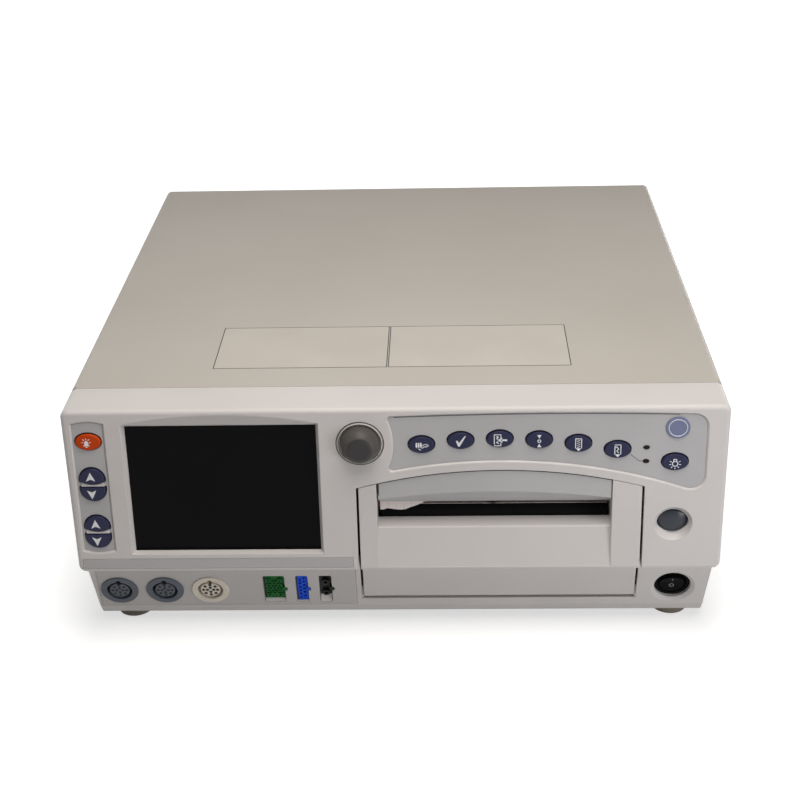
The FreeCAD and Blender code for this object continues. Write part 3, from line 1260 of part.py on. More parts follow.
def pivot_pins():
    pins = []
    for (x0, x1), inward in zip(ear_spans(), (1, -1)):
        start = x0 if inward > 0 else x1 - EAR - EAR_GAP - HINGE_PIN_REACH
        pins.append(rod(start, BARREL_Y, BARREL_Z, X_AXIS, HINGE_PIN_RADIUS, EAR + EAR_GAP + HINGE_PIN_REACH))
    low = lug_spans()[0][0]
    high = lug_spans()[1][1]
    pins.append(rod(LEVER_PIVOT_X, LEVER_PIVOT_Y, low, Z_AXIS, LEVER_PIN_RADIUS, high - low))
    y, z, away = idler_place()
    pins.append(rod(GEAR_X - PAST, y, z, X_AXIS, IDLER_PIN_RADIUS, FRAME_RIGHT + FRAME_PLATE - GEAR_X + PAST))
    return Part.makeCompound(pins)


# Latch

def latch_button():
    back = DISH_DEPTH + WALL
    cap = prism_y(oval(LATCH_X, LATCH_Z, LATCH_A, LATCH_B), LATCH_FACE_Y - LATCH_DOME, back + KEY_GAP)
    ball = (LATCH_A ** 2 + LATCH_DOME ** 2) / (2 * LATCH_DOME)
    cap = cap.common(Part.makeSphere(ball, V(LATCH_X, LATCH_FACE_Y - LATCH_DOME + ball, LATCH_Z)))
    tab = LATCH_B + LATCH_TAB
    keep = box(LATCH_X - LATCH_STEM_RADIUS, LATCH_X + LATCH_STEM_RADIUS, back + KEY_GAP,
               back + KEY_GAP + LATCH_TAB, LATCH_Z - tab, LATCH_Z + tab)
    stem = rod(LATCH_X, back, LATCH_Z, Y_AXIS, LATCH_STEM_RADIUS, LATCH_STEM_END - back)
    return join(cap, keep, stem)


def latch_lever():
    x = LEVER_PIVOT_X
    y = LEVER_PIVOT_Y
    low = LATCH_Z - LEVER_THICK / 2
    contact = LATCH_STEM_END + KEY_GAP
    tip_x = DOOR_RIGHT + LATCH_CLEARANCE
    end_x = LATCH_X + LATCH_STEM_RADIUS
    thick = LEVER_THICK
    hook_y0, hook_y1 = hook_span()
    outline = [(x + thick, contact), (end_x, contact), (end_x, contact + thick), (x + thick, y + thick),
               (x - thick, y + thick), (tip_x, hook_y1), (tip_x, hook_y0), (tip_x + thick, hook_y0),
               (x - LEVER_PIN_RADIUS, contact)]
    arm = polygon([V(px, py, low) for px, py in outline]).extrude(Z_AXIS * thick)
    hub = rod(x, y, low, Z_AXIS, LEVER_HUB_RADIUS, thick)
    return join(arm, hub).cut(rod(x, y, low - PAST, Z_AXIS, LEVER_PIN_RADIUS + RUNNING, thick + 2 * PAST))


# Connector face

def connector_panel():
    low = CONNECTOR_PLATE + FIT_GAP - PANEL_SLOPE
    plate = box(CONNECTOR_LEFT + FIT_GAP, CONNECTOR_RIGHT - FIT_GAP, 0, CONNECTOR_PLATE, low, -FIT_GAP)
    plate = tilted(plate, 0, 0).cut(socket_holes(-PAST, WALL))
    legend = box(LEGEND_LEFT + FIT_GAP, CONNECTOR_RIGHT - FIT_GAP, 0, OVERLAY,
                 LEDGE_Z + FRONT_EDGE_RADIUS + FIT_GAP, LEGEND_HIGH - FIT_GAP)
    return Part.makeCompound([plate, legend])


def contact_holes(places, y):
    return [rod(x, y, z, Y_AXIS, CONTACT_RADIUS, CONTACT_DEPTH) for x, z in places]


def round_socket():
    """Round keyed socket with a contact core, drawn at the origin, facing -y."""
    flange = rod(0, -SOCKET_PROUD, 0, Y_AXIS, SOCKET_FLANGE_RADIUS, SOCKET_PROUD)
    flange = fillet(flange, SOCKET_PROUD / 2, lambda e: near(e.BoundBox.YMax, -SOCKET_PROUD))
    body = join(flange, rod(0, 0, 0, Y_AXIS, SOCKET_BODY_RADIUS, SOCKET_BODY_DEPTH))
    floor = SOCKET_BORE_DEPTH - SOCKET_PROUD
    core_y = SOCKET_CORE_RECESS - SOCKET_PROUD
    core = rod(0, core_y, 0, Y_AXIS, SOCKET_CORE_RADIUS, SOCKET_BORE_DEPTH)
    groove = rod(0, -SOCKET_PROUD, 0, Y_AXIS, SOCKET_BORE_RADIUS, SOCKET_BORE_DEPTH).cut(core)
    key = box(-SOCKET_KEY / 2, SOCKET_KEY / 2, -SOCKET_PROUD, floor,
              SOCKET_CORE_RADIUS - SOCKET_PROUD, SOCKET_BORE_RADIUS + SOCKET_KEY / 2)
    places = [(r * sin(2 * pi * i / n), r * cos(2 * pi * i / n)) for n, r in CONTACT_RINGS for i in range(n)]
    return body.cut([groove, key] + contact_holes(places, core_y))


def slot_socket(name):
    """Body of an upright oblong socket drawn at the origin, facing -y, with its flange behind the wall."""
    width = SLOT_WIDTHS[name]
    body = slot_block(width, 0, SLOT_RECESSES[name], SOCKET_BODY_DEPTH)
    plate = rounded(0, 0, width + 4 * SLOT_FLANGE, SLOT_HEIGHT + 4 * SLOT_FLANGE, SLOT_CORNER)
    return join(body, prism_y(plate, WALL, WALL + SLOT_FLANGE))


def sleeves(places, y, radius, bore, height):
    """Upright tubes on the floor of a socket, joined to its body, with their bores."""
    tubes = [rod(x, y - height, z, Y_AXIS, radius, height + PAST) for x, z in places]
    bores = [rod(x, y - height, z, Y_AXIS, bore, height + CONTACT_DEPTH) for x, z in places]
    return tubes, bores


def staggered(counts, pitch_x, pitch_z):
    """Columns of places, each with its own count, about the origin."""
    middle = (len(counts) - 1) / 2
    return [((column - middle) * pitch_x, (i - (count - 1) / 2) * pitch_z)
            for column, count in enumerate(counts) for i in range(count)]


def ecg_socket():
    places = staggered([4, 3, 4], SLEEVE_PITCH_X, SLEEVE_PITCH_Z)
    tubes, bores = sleeves(places, SLOT_RECESSES["ecg_socket"], SLEEVE_RADIUS, SLEEVE_BORE, SLEEVE_HEIGHT)
    body = join(slot_socket("ecg_socket"), *tubes).cut(bores)
    return tilted(body, SLOT_X["ecg_socket"], SOCKET_DROP)


def oximetry_socket():
    places = staggered([6, 6], PINHOLE_PITCH_X, PINHOLE_PITCH_Z)
    zigzag = [(x, z + (PINHOLE_PITCH_Z / 4 if x > 0 else -PINHOLE_PITCH_Z / 4)) for x, z in places]
    body = slot_socket("oximetry_socket").cut(contact_holes(zigzag, SLOT_RECESSES["oximetry_socket"]))
    return tilted(body, SLOT_X["oximetry_socket"], SOCKET_DROP)


def pressure_socket():
    places = staggered([2], 0, PORT_PITCH)
    tubes, bores = sleeves(places, SLOT_RECESSES["pressure_socket"], PORT_RADIUS, PORT_BORE, PORT_HEIGHT)
    body = join(slot_socket("pressure_socket"), *tubes).cut(bores)
    return tilted(body, SLOT_X["pressure_socket"], SOCKET_DROP)


def ultrasound_sockets():
    return Part.makeCompound([tilted(round_socket(), x, SOCKET_DROP) for x in SOCKET_X[:2]])


def uterine_socket():
    return tilted(round_socket(), SOCKET_X[2], SOCKET_DROP)


# Power switch

def power_switch_housing():
    seat = SWITCH_DISH_DEPTH
    front = seat - SWITCH_FLANGE
    flange = rod(0, front, 0, Y_AXIS, SWITCH_FLANGE_RADIUS, SWITCH_FLANGE)
    flange = fillet(flange, SWITCH_FLANGE_ROUNDING, lambda e: near(e.BoundBox.YMax, front))
    body = join(flange, rod(0, seat, 0, Y_AXIS, SWITCH_BODY_RADIUS, SOCKET_BODY_DEPTH - seat))
    cavity = rod(0, 0, 0, Y_AXIS, SWITCH_CAVITY_RADIUS, ROCKER_AXIS_Y + ROCKER_RADIUS)
    hole = rod(-SWITCH_BODY_RADIUS, ROCKER_AXIS_Y, 0, X_AXIS, TRUNNION_RADIUS + RUNNING,
               2 * SWITCH_BODY_RADIUS)
    return tilted(body.cut([cavity, hole]), SWITCH_X, SOCKET_DROP)


def power_switch_rocker():
    plug = rod(0, 0, 0, Y_AXIS, ROCKER_RADIUS, ROCKER_BACK_Y)
    rise = ROCKER_RADIUS * tan(ROCKER_TIP)
    tip = ROCKER_FRONT_Y - 2 * rise
    wedge = [(-PAST, -2 * ROCKER_RADIUS), (tip, -2 * ROCKER_RADIUS), (ROCKER_FRONT_Y, 0),
             (tip, 2 * ROCKER_RADIUS), (-PAST, 2 * ROCKER_RADIUS)]
    plug = plug.cut(prism_x(wedge, -2 * ROCKER_RADIUS, 2 * ROCKER_RADIUS))
    reach = (SWITCH_CAVITY_RADIUS + SWITCH_BODY_RADIUS) / 2
    plug = join(plug, rod(-reach, ROCKER_AXIS_Y, 0, X_AXIS, TRUNNION_RADIUS, 2 * reach))
    plug.rotate(V(0, ROCKER_AXIS_Y, 0), X_AXIS, degrees(ROCKER_TIP))
    return tilted(plug, SWITCH_X, SOCKET_DROP)


# Back and inside

def inlet_face(grow):
    """Outline of the mains inlet's body, grown or shrunk."""
    width = 2 * (INLET_HALF_WIDTH + grow)
    return rounded(INLET_X, INLET_Z, width, 2 * (INLET_HALF_HEIGHT + grow), INLET_CORNER)


def mains_inlet():
    face_y = REAR_Y + INLET_PROUD
    mouth_y = face_y - INLET_MOUTH_DEPTH
    mouth_z = INLET_Z - (INLET_HALF_HEIGHT - INLET_FLANGE) / 2
    body = join(prism_y(inlet_face(INLET_FLANGE), REAR_Y, face_y),
                prism_y(inlet_face(-INLET_CASE_GAP), REAR_Y - INLET_DEPTH, REAR_Y))
    mouth_face = rounded(INLET_X, mouth_z, 2 * INLET_MOUTH_X, 2 * INLET_MOUTH_Z, INLET_CORNER)
    drawer = box(INLET_X - INLET_MOUTH_X, INLET_X + INLET_MOUTH_X, face_y - INLET_PROUD / 3, face_y + PAST,
                 INLET_Z + INLET_DRAWER_LOW, INLET_Z + INLET_HALF_HEIGHT - INLET_FLANGE)
    body = body.cut([prism_y(mouth_face, mouth_y, face_y + PAST), drawer])
    pins = []
    for dx, dz in INLET_PINS:
        x = INLET_X + dx
        z = mouth_z + dz
        pins.append(box(x - INLET_PIN_HALF_X, x + INLET_PIN_HALF_X, mouth_y - PAST, face_y - INLET_PIN_RECESS,
                        z - INLET_PIN_HALF_Z, z + INLET_PIN_HALF_Z))
    return join(body, *pins)


def ground_post():
    collar = rod(POST_X, REAR_Y, POST_Z, Y_AXIS, 2 * POST_RADIUS, POST_COLLAR)
    post = rod(POST_X, REAR_Y - REAR_PLATE - POST_COLLAR, POST_Z, Y_AXIS, POST_RADIUS,
               POST_TIP_Y - REAR_Y + REAR_PLATE + POST_COLLAR)
    return join(collar, post)


def data_holes(x):
    """Contact holes of one data socket: five over four."""
    places = []
    for count, z in ((5, DATA_Z + DATA_ROW), (4, DATA_Z - DATA_ROW)):
        places += [(x + (i - (count - 1) / 2) * DATA_PITCH, z) for i in range(count)]
    floor = REAR_Y + DATA_PROUD - DATA_NUT
    return [rod(px, floor, z, Y_AXIS, DATA_HOLE_RADIUS, DATA_NUT) for px, z in places]


def rear_data_sockets():
    sockets = []
    high = DATA_Z + DATA_SHELL_HALF
    low = DATA_Z - DATA_SHELL_HALF
    for x in DATA_X:
        plate_face = rounded(x, DATA_Z, DATA_PLATE_WIDTH, DATA_PLATE_HEIGHT, DATA_ROW)
        plate = prism_y(plate_face, REAR_Y, REAR_Y + DATA_PLATE)
        shell = polygon([V(x - DATA_SHELL_TOP, 0, high), V(x + DATA_SHELL_TOP, 0, high),
                         V(x + DATA_SHELL_LOW, 0, low), V(x - DATA_SHELL_LOW, 0, low)])
        nose = prism_y(shell, REAR_Y - DATA_DEPTH, REAR_Y + DATA_PROUD)
        nuts = [rod(x + side * DATA_NUT_X, REAR_Y + DATA_PLATE, DATA_Z, Y_AXIS, DATA_NUT_RADIUS, DATA_NUT)
                for side in (-1, 1)]
        sockets.append(join(plate, nose, *nuts).cut(data_holes(x)))
    return Part.makeCompound(sockets)


def main_board_pillars():
    edge = 2 * STANDOFF_RADIUS
    rows = (MAIN_FRONT + edge, (MAIN_FRONT + MAIN_BACK) / 2, MAIN_BACK - edge)
    return [(x, y) for x in (MAIN_LEFT + edge, MAIN_RIGHT - edge) for y in rows]


def main_board():
    z = FLOOR_Z + STANDOFF
    board = box(MAIN_LEFT, MAIN_RIGHT, MAIN_FRONT, MAIN_BACK, z, z + BOARD)
    foot = z + BOARD / 2
    row_y = MAIN_FRONT + CHIP_PITCH
    parts = []
    for i in range(int((MAIN_RIGHT - MAIN_LEFT - CHIP / 2) / CHIP_PITCH)):
        x = MAIN_LEFT + CHIP + CHIP_PITCH * i
        parts.append(box(x, x + CHIP, row_y, row_y + CHIP, foot, foot + CHIP_HEIGHT))
    can_y = row_y + 2 * CHIP
    can_x = MAIN_LEFT + CHIP
    parts.append(box(can_x, can_x + CHIP_PITCH, can_y, can_y + CHIP, foot, foot + CAN_HEIGHT))
    header_y = MAIN_BACK - 2 * HEADER
    parts.append(box(MAIN_LEFT + CHIP, MAIN_RIGHT - CHIP, header_y, header_y + HEADER, foot, foot + HEADER))
    return join(board, *parts)


def power_supply():
    back = REAR_Y - REAR_PLATE - INLET_DEPTH - SUPPLY_SLOT_PITCH
    front = back - SUPPLY_DEPTH
    top = FLOOR_Z + SUPPLY_HEIGHT
    case = box(SUPPLY_LEFT, SUPPLY_RIGHT, front, back, FLOOR_Z, top)
    slots = []
    for i in range(SUPPLY_SLOTS):
        x = SUPPLY_LEFT + SUPPLY_SLOT_PITCH * (i + 1)
        slots.append(box(x, x + SUPPLY_SLOT, front + 2 * SUPPLY_SLOT_PITCH, back - 2 * SUPPLY_SLOT_PITCH,
                         top - SUPPLY_SLOT / 2, top + PAST))
    return case.cut(slots)


def speaker():
    rim = SPEAKER_RIM
    magnet = SPEAKER_RADIUS / 2
    top = SPEAKER_HEIGHT
    inner = SPEAKER_RADIUS - rim
    profile = [(inner, 0), (SPEAKER_RADIUS, 0), (SPEAKER_RADIUS, rim), (inner, rim),
               (magnet, top / 2), (magnet, top), (0, top), (0, rim), (magnet / 2, rim)]
    face = polygon([V(radius, 0, z) for radius, z in profile])
    return face.revolve(V(0, 0, 0), Z_AXIS, 360).translated(V(SPEAKER_X, SPEAKER_Y, FLOOR_Z))


def pressure_pump():
    x = PUMP_X
    half = PUMP_LENGTH / 2
    wide = PUMP_HALF
    axis_z = FLOOR_Z + PUMP_CRADLE + PUMP_MOTOR_RADIUS - PAST
    head_y = PUMP_Y + half - PUMP_HEAD
    head_top = axis_z + wide
    cradle = box(x - wide, x + wide, PUMP_Y - half, PUMP_Y + half, FLOOR_Z, FLOOR_Z + PUMP_CRADLE)
    motor = rod(x, PUMP_Y - half, axis_z, Y_AXIS, PUMP_MOTOR_RADIUS, PUMP_LENGTH - PUMP_HEAD / 2)
    head = box(x - wide, x + wide, head_y, PUMP_Y + half, FLOOR_Z + PUMP_CRADLE / 2, head_top)
    spout = rod(x, head_y + PUMP_HEAD / 2, head_top - PAST, Z_AXIS, PUMP_SPOUT_RADIUS, PUMP_SPOUT)
    return join(cradle, motor, head, spout)


PIECES = {
    "front_bezel": front_bezel, "top_cover": top_cover, "base_pan": base_pan, "rear_panel": rear_panel,
    "rubber_feet": rubber_feet, "housing_screws": housing_screws,
    "display_window": display_window, "display_module": display_module,
    "function_key_panel": function_key_panel, "volume_key_panel": volume_key_panel, "key_boards": key_boards,
    "status_lights": status_lights, "round_badge": round_badge,
    "knob_collar": knob_collar, "trim_knob": trim_knob, "encoder_rotor": encoder_rotor,
    "knob_encoder": knob_encoder,
    "recorder_door": recorder_door, "recorder_visor": recorder_visor, "recorder_frame": recorder_frame,
    "platen_shaft": platen_shaft, "platen_roller": platen_roller, "platen_gear": platen_gear,
    "idler_gear": idler_gear, "motor_pinion": motor_pinion, "stepper_motor": stepper_motor,
    "print_head": print_head, "print_head_bar": print_head_bar, "chart_paper": chart_paper,
    "pivot_pins": pivot_pins, "latch_button": latch_button, "latch_lever": latch_lever,
    "connector_panel": connector_panel, "ultrasound_sockets": ultrasound_sockets,
    "uterine_socket": uterine_socket, "ecg_socket": ecg_socket, "oximetry_socket": oximetry_socket,
    "pressure_socket": pressure_socket,
    "power_switch_housing": power_switch_housing, "power_switch_rocker": power_switch_rocker,
    "mains_inlet": mains_inlet, "ground_post": ground_post, "rear_data_sockets": rear_data_sockets,
    "main_board": main_board, "power_supply": power_supply, "speaker": speaker,
    "pressure_pump": pressure_pump,
}


def build():
    shapes = {name: make() for name, make in PIECES.items()}
    for name in KEYS:
        shapes[name] = key(name)
    return shapes


os.makedirs("parts", exist_ok=True)
for name, shape in build().items():
    shape.translated(V(0, -MID_Y, 0)).exportStep("parts/" + name + ".step")
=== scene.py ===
# %% [markdown]
# # A desktop fetal monitor with a strip-chart recorder
# The solids come from the CAD pack and stay where they are. This lesson dresses them: a camera and
# soft light like a catalogue picture, a finish for every plastic, metal, rubber and glass piece, and
# the small printed and torn pieces that no CAD model holds.

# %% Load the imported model
import json
import math

import bmesh
import bpy
from mathutils import Matrix, Vector
from mathutils.bvhtree import BVHTree

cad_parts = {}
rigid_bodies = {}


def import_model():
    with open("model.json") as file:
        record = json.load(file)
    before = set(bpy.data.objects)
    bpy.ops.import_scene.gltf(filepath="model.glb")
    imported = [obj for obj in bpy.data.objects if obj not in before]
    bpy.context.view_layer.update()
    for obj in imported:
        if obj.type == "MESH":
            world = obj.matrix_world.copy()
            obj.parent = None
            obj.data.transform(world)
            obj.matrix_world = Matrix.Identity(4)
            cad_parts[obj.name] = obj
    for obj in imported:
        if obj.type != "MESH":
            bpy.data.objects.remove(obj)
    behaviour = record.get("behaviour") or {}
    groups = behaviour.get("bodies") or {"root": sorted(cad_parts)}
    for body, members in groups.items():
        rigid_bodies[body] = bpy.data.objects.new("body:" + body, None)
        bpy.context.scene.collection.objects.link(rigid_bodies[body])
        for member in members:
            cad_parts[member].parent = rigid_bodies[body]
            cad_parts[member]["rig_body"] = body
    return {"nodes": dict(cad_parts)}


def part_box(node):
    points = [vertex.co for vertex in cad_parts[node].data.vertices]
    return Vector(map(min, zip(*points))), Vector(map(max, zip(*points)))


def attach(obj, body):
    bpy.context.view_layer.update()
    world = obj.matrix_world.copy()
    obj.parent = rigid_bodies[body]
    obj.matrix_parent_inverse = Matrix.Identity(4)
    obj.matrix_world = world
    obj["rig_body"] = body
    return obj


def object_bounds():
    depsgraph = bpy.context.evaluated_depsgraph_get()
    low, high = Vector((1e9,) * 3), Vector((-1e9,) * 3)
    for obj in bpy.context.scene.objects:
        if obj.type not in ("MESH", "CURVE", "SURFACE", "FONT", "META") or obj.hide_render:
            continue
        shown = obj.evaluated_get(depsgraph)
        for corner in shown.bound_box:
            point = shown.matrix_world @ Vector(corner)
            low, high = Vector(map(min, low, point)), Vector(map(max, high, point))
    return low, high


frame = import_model()
nodes = frame["nodes"]
cad_low, cad_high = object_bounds()
print("loaded", len(nodes), "nodes, box", [round(v, 4) for v in cad_high - cad_low])

# %% [markdown]
# ## The camera
# The picture is taken from in front and above, a little to the right of the middle, by a camera that
# stands about a metre away. The frame hangs low on its lens axis, which a small downward shift gives.
# Setting the camera's axes from three angles keeps the roll that the photograph has.

# %% Camera
MM = 0.001
IMAGE = 800
SENSOR = 36.0
LENS_PIXELS = 1559.0
AXIS_X, AXIS_Y = 396.0, 280.0
CAMERA_PLACE = Vector((35.0, -1097.7, 632.4)) * MM
PITCH, YAW, ROLL = (math.radians(a) for a in (22.34, -2.01, 1.45))


def camera_axes(pitch, yaw, roll):
    """Right, up and backward of a camera that looks along +Y, turned by yaw, tipped down, then rolled."""
    forward = Vector((math.sin(yaw) * math.cos(pitch), math.cos(yaw) * math.cos(pitch), -math.sin(pitch)))
    level = Vector((math.cos(yaw), -math.sin(yaw), 0))
    down = forward.cross(level)
    right = math.cos(roll) * level + math.sin(roll) * down
    up = math.sin(roll) * level - math.cos(roll) * down
    return right, up, -forward


lens = bpy.data.cameras.new("catalogue_lens")
lens.sensor_width = SENSOR
lens.lens = LENS_PIXELS / IMAGE * SENSOR
lens.shift_x = (IMAGE / 2 - AXIS_X) / IMAGE
lens.shift_y = (AXIS_Y - IMAGE / 2) / IMAGE
camera = bpy.data.objects.new("catalogue_camera", lens)
bpy.context.scene.collection.objects.link(camera)
axes = Matrix(camera_axes(PITCH, YAW, ROLL)).transposed().to_4x4()
camera.matrix_world = Matrix.Translation(CAMERA_PLACE) @ axes
bpy.context.scene.camera = camera
bpy.context.scene.view_settings.view_transform = "Standard"
print("lens", round(lens.lens, 1), "mm, shift", round(lens.shift_x, 4), round(lens.shift_y, 4))

# %% [markdown]
# ## Floor, backdrop and light
# The monitor stands on a white sweep. A lit floor is never quite white, so the part of it that the
# camera and its reflections see gets a share of plain emission, full a few centimetres away and least
# beside the monitor's footprint, where the lower emission paints a soft shadow round the monitor. The
# rest stays a matt white that takes the real shadow. The world does the same: white to the eye, and a
# soft dome of light to the plastic.
# One softbox hangs over the front edge, so the top is the brightest face and the cover grows darker to
# the back. A second one stands low on the right and lets the front fade towards the left. Two more stand
# behind, wide and lower than the cover so that they can't reach its top, and keep the back and the side
# out of the dark.

# %% World
DOME_LEVEL = 0.15
DOME_TINT = (0.93, 0.965, 1.0)


def fill(tree, node, inputs):
    """Sets each named input of a node to a value, or links it to a socket."""
    for name, value in inputs.items():
        if isinstance(value, bpy.types.NodeSocket):
            tree.links.new(value, node.inputs[name])
        else:
            node.inputs[name].default_value = value


def wire(tree, kind, inputs, **settings):
    """A new node of a kind, with its settings made and its inputs filled."""
    node = tree.nodes.new(f"ShaderNode{kind}")
    for name, value in settings.items():
        setattr(node, name, value)
    fill(tree, node, inputs)
    return node


def seen_directly(tree):
    """1 for a ray from the camera or from a reflection or glass in its sight, and 0 for light."""
    path = wire(tree, "LightPath", {})
    last = path.outputs["Is Camera Ray"]
    for ray in ("Is Glossy Ray", "Is Transmission Ray"):
        last = wire(tree, "Math", {0: last, 1: path.outputs[ray]}, operation="MAXIMUM").outputs[0]
    return last


world = bpy.data.worlds.new("white_studio")
bpy.context.scene.world = world
world.use_nodes = True
tree = world.node_tree
light = [DOME_LEVEL * c for c in DOME_TINT] + [1]
sky = wire(tree, "Mix", {"Factor": seen_directly(tree), "A": light, "B": (1, 1, 1, 1)}, data_type="RGBA")
fill(tree, tree.nodes["Background"], {"Color": sky.outputs["Result"]})
print("world: white to the eye, dome of", DOME_LEVEL)

# %% Floor
FLOOR_SIZE, FLOOR_MATT, FLOOR_ROUGH = 12.0, 0.60, 0.95
PAINTED_SHADOW_GLOW, PAINTED_SHADOW_REACH = 0.60, 0.09

sweep_paint = bpy.data.materials.new("white_sweep")
sweep_paint.use_nodes = True
tree = sweep_paint.node_tree
spot = wire(tree, "TexCoord", {}).outputs["Object"]
# Distance from the monitor's footprint: the floor's emission is lowest next to it, which paints a soft shadow
# round the monitor.
half_plan = Vector((cad_high.x - cad_low.x, cad_high.y - cad_low.y, 0)) / 2
spot = wire(tree, "VectorMath", {0: spot}, operation="ABSOLUTE").outputs["Vector"]
spot = wire(tree, "VectorMath", {0: spot, 1: half_plan}, operation="SUBTRACT").outputs["Vector"]
spot = wire(tree, "VectorMath", {0: spot, 1: (0, 0, 0)}, operation="MAXIMUM").outputs["Vector"]
away = wire(tree, "VectorMath", {0: spot}, operation="LENGTH").outputs["Value"]
sweep = wire(tree, "MapRange", {"Value": away, "From Max": PAINTED_SHADOW_REACH, "To Min": PAINTED_SHADOW_GLOW, "To Max": 1.0})
glow = wire(tree, "Math", {0: seen_directly(tree), 1: sweep.outputs["Result"]}, operation="MULTIPLY")
fill(tree, tree.nodes["Principled BSDF"], {
    "Base Color": (FLOOR_MATT, FLOOR_MATT, FLOOR_MATT, 1), "Roughness": FLOOR_ROUGH,
    "Specular IOR Level": 0.0, "Emission Color": (1, 1, 1, 1), "Emission Strength": glow.outputs[0]})


def mesh_piece(name, shape, finish):
    """An object from a bmesh, at the origin, with one finish or several."""
    mesh = bpy.data.meshes.new(name)
    shape.to_mesh(mesh)
    shape.free()
    piece = bpy.data.objects.new(name, mesh)
    bpy.context.scene.collection.objects.link(piece)
    for each in finish if isinstance(finish, (list, tuple)) else [finish]:
        mesh.materials.append(each)
    return piece


shape = bmesh.new()
bmesh.ops.create_grid(shape, x_segments=1, y_segments=1, size=FLOOR_SIZE / 2)
mesh_piece("studio_floor", shape, sweep_paint)
print("floor", FLOOR_SIZE, "m across, full glow from", PAINTED_SHADOW_REACH, "m beside the monitor")


# %% Softboxes
def softbox(name, place, aim, wide, tall, watts, tint):
    """A soft lamp, wide by tall, at a place, turned to face a point."""
    lamp = bpy.data.lights.new(name, "AREA")
    lamp.shape = "RECTANGLE"
    lamp.size = wide
    lamp.size_y = tall
    lamp.energy = watts
    lamp.color = tint
    box = bpy.data.objects.new(name, lamp)
    bpy.context.scene.collection.objects.link(box)
    box.location = place
    box.rotation_euler = (Vector(aim) - Vector(place)).to_track_quat("-Z", "Y").to_euler()


softbox("overhead_softbox", (0.08, -0.42, 0.92), (0, -0.15, 0.1), 0.6, 0.6, 7.0, (1.0, 0.965, 0.90))
softbox("side_softbox", (0.62, -0.66, 0.14), (0.14, -0.2, 0.05), 0.26, 0.26, 1.6, (0.955, 0.97, 1.0))
softbox("back_softbox", (0.35, 1.30, 0.09), (0, 0.2, 0.08), 1.1, 0.15, 6.0, (1.0, 0.985, 0.96))
softbox("left_softbox", (-1.30, 0.55, 0.09), (-0.2, 0, 0.08), 1.1, 0.15, 4.0, (1.0, 0.985, 0.96))
print("softboxes:", len(bpy.data.lights))

# %% [markdown]
# ## Moulded plastic
# The bezel, door and keys are injection mouldings. Their colour is never one value: it drifts slowly
# with handling and age, the spark-eroded mould leaves a fine grain, and edges are rubbed a little
# paler. Noise at two scales gives the drift and the grain, and a Bevel node finds the edges, because
# the CAD mesh has no rounded ones.

# %% Helpers for finishes
EDGE_WIDTH, EDGE_SAMPLES = 0.0006, 4
EDGE_FLAT, EDGE_TURNED = 0.98, 0.75
STEP_HALF = 0.00005


def colour(red, green, blue):
    """A colour as read off a screen, 0 to 255, as the linear numbers that a shader takes."""
    steps = [c / 255 for c in (red, green, blue)]
    return [c / 12.92 if c <= 0.04045 else ((c + 0.055) / 1.055) ** 2.4 for c in steps] + [1.0]


def start_finish(name):
    """A new material with its tree, shader and Object coordinates."""
    finish = bpy.data.materials.new(name)
    finish.use_nodes = True
    tree = finish.node_tree
    return finish, tree, tree.nodes["Principled BSDF"], wire(tree, "TexCoord", {}).outputs["Object"]


def cloud(tree, place, scale, detail=3.0, low=0.3, high=0.7):
    """Noise of a scale, in features per metre, spread over 0 to 1."""
    noise = wire(tree, "TexNoise", {"Vector": place, "Scale": scale, "Detail": detail})
    spread = wire(tree, "MapRange", {"Value": noise.outputs["Fac"], "From Min": low, "From Max": high})
    return spread.outputs["Result"]


def mixed(tree, share, first, second):
    """A colour between two, each a colour or a socket."""
    return wire(tree, "Mix", {"Factor": share, "A": first, "B": second}, data_type="RGBA").outputs["Result"]


def between(tree, share, low, high):
    """A number that goes from low to high as the share goes from 0 to 1."""
    return wire(tree, "MapRange", {"Value": share, "To Min": low, "To Max": high}).outputs["Result"]


def rubbed_edges(tree):
    """1 along edges and 0 on open faces, and the normal with those edges rounded."""
    rounded = wire(tree, "Bevel", {"Radius": EDGE_WIDTH}, samples=EDGE_SAMPLES).outputs["Normal"]
    flat = wire(tree, "NewGeometry", {}).outputs["Normal"]
    turned = wire(tree, "VectorMath", {0: rounded, 1: flat}, operation="DOT_PRODUCT").outputs["Value"]
    edge = wire(tree, "MapRange", {"Value": turned, "From Min": EDGE_FLAT, "From Max": EDGE_TURNED})
    return edge.outputs["Result"], rounded


def grain_bump(tree, shader, height, strength, distance, normal=None):
    """Presses a grain into the surface, over the rounded edges if there are any."""
    bump = wire(tree, "Bump", {"Strength": strength, "Distance": distance, "Height": height})
    if normal is not None:
        fill(tree, bump, {"Normal": normal})
    fill(tree, shader, {"Normal": bump.outputs["Normal"]})


def beyond(tree, place, axis, level):
    """0 below a level on one axis, in metres, and 1 above it."""
    along = wire(tree, "SeparateXYZ", {"Vector": place}).outputs[axis]
    step = wire(tree, "MapRange", {"Value": along, "From Min": level - STEP_HALF,
                                   "From Max": level + STEP_HALF})
    return step.outputs["Result"]


print("helpers ready, edges rounded over", EDGE_WIDTH, "m")

# %% Moulded finishes
DRIFT_SCALE, GRAIN_SCALE, GRAIN_PRESS = 11.0, 1800.0, 0.12
GRAIN_DEPTH, KNOB_FACE = 0.0002, -0.2222


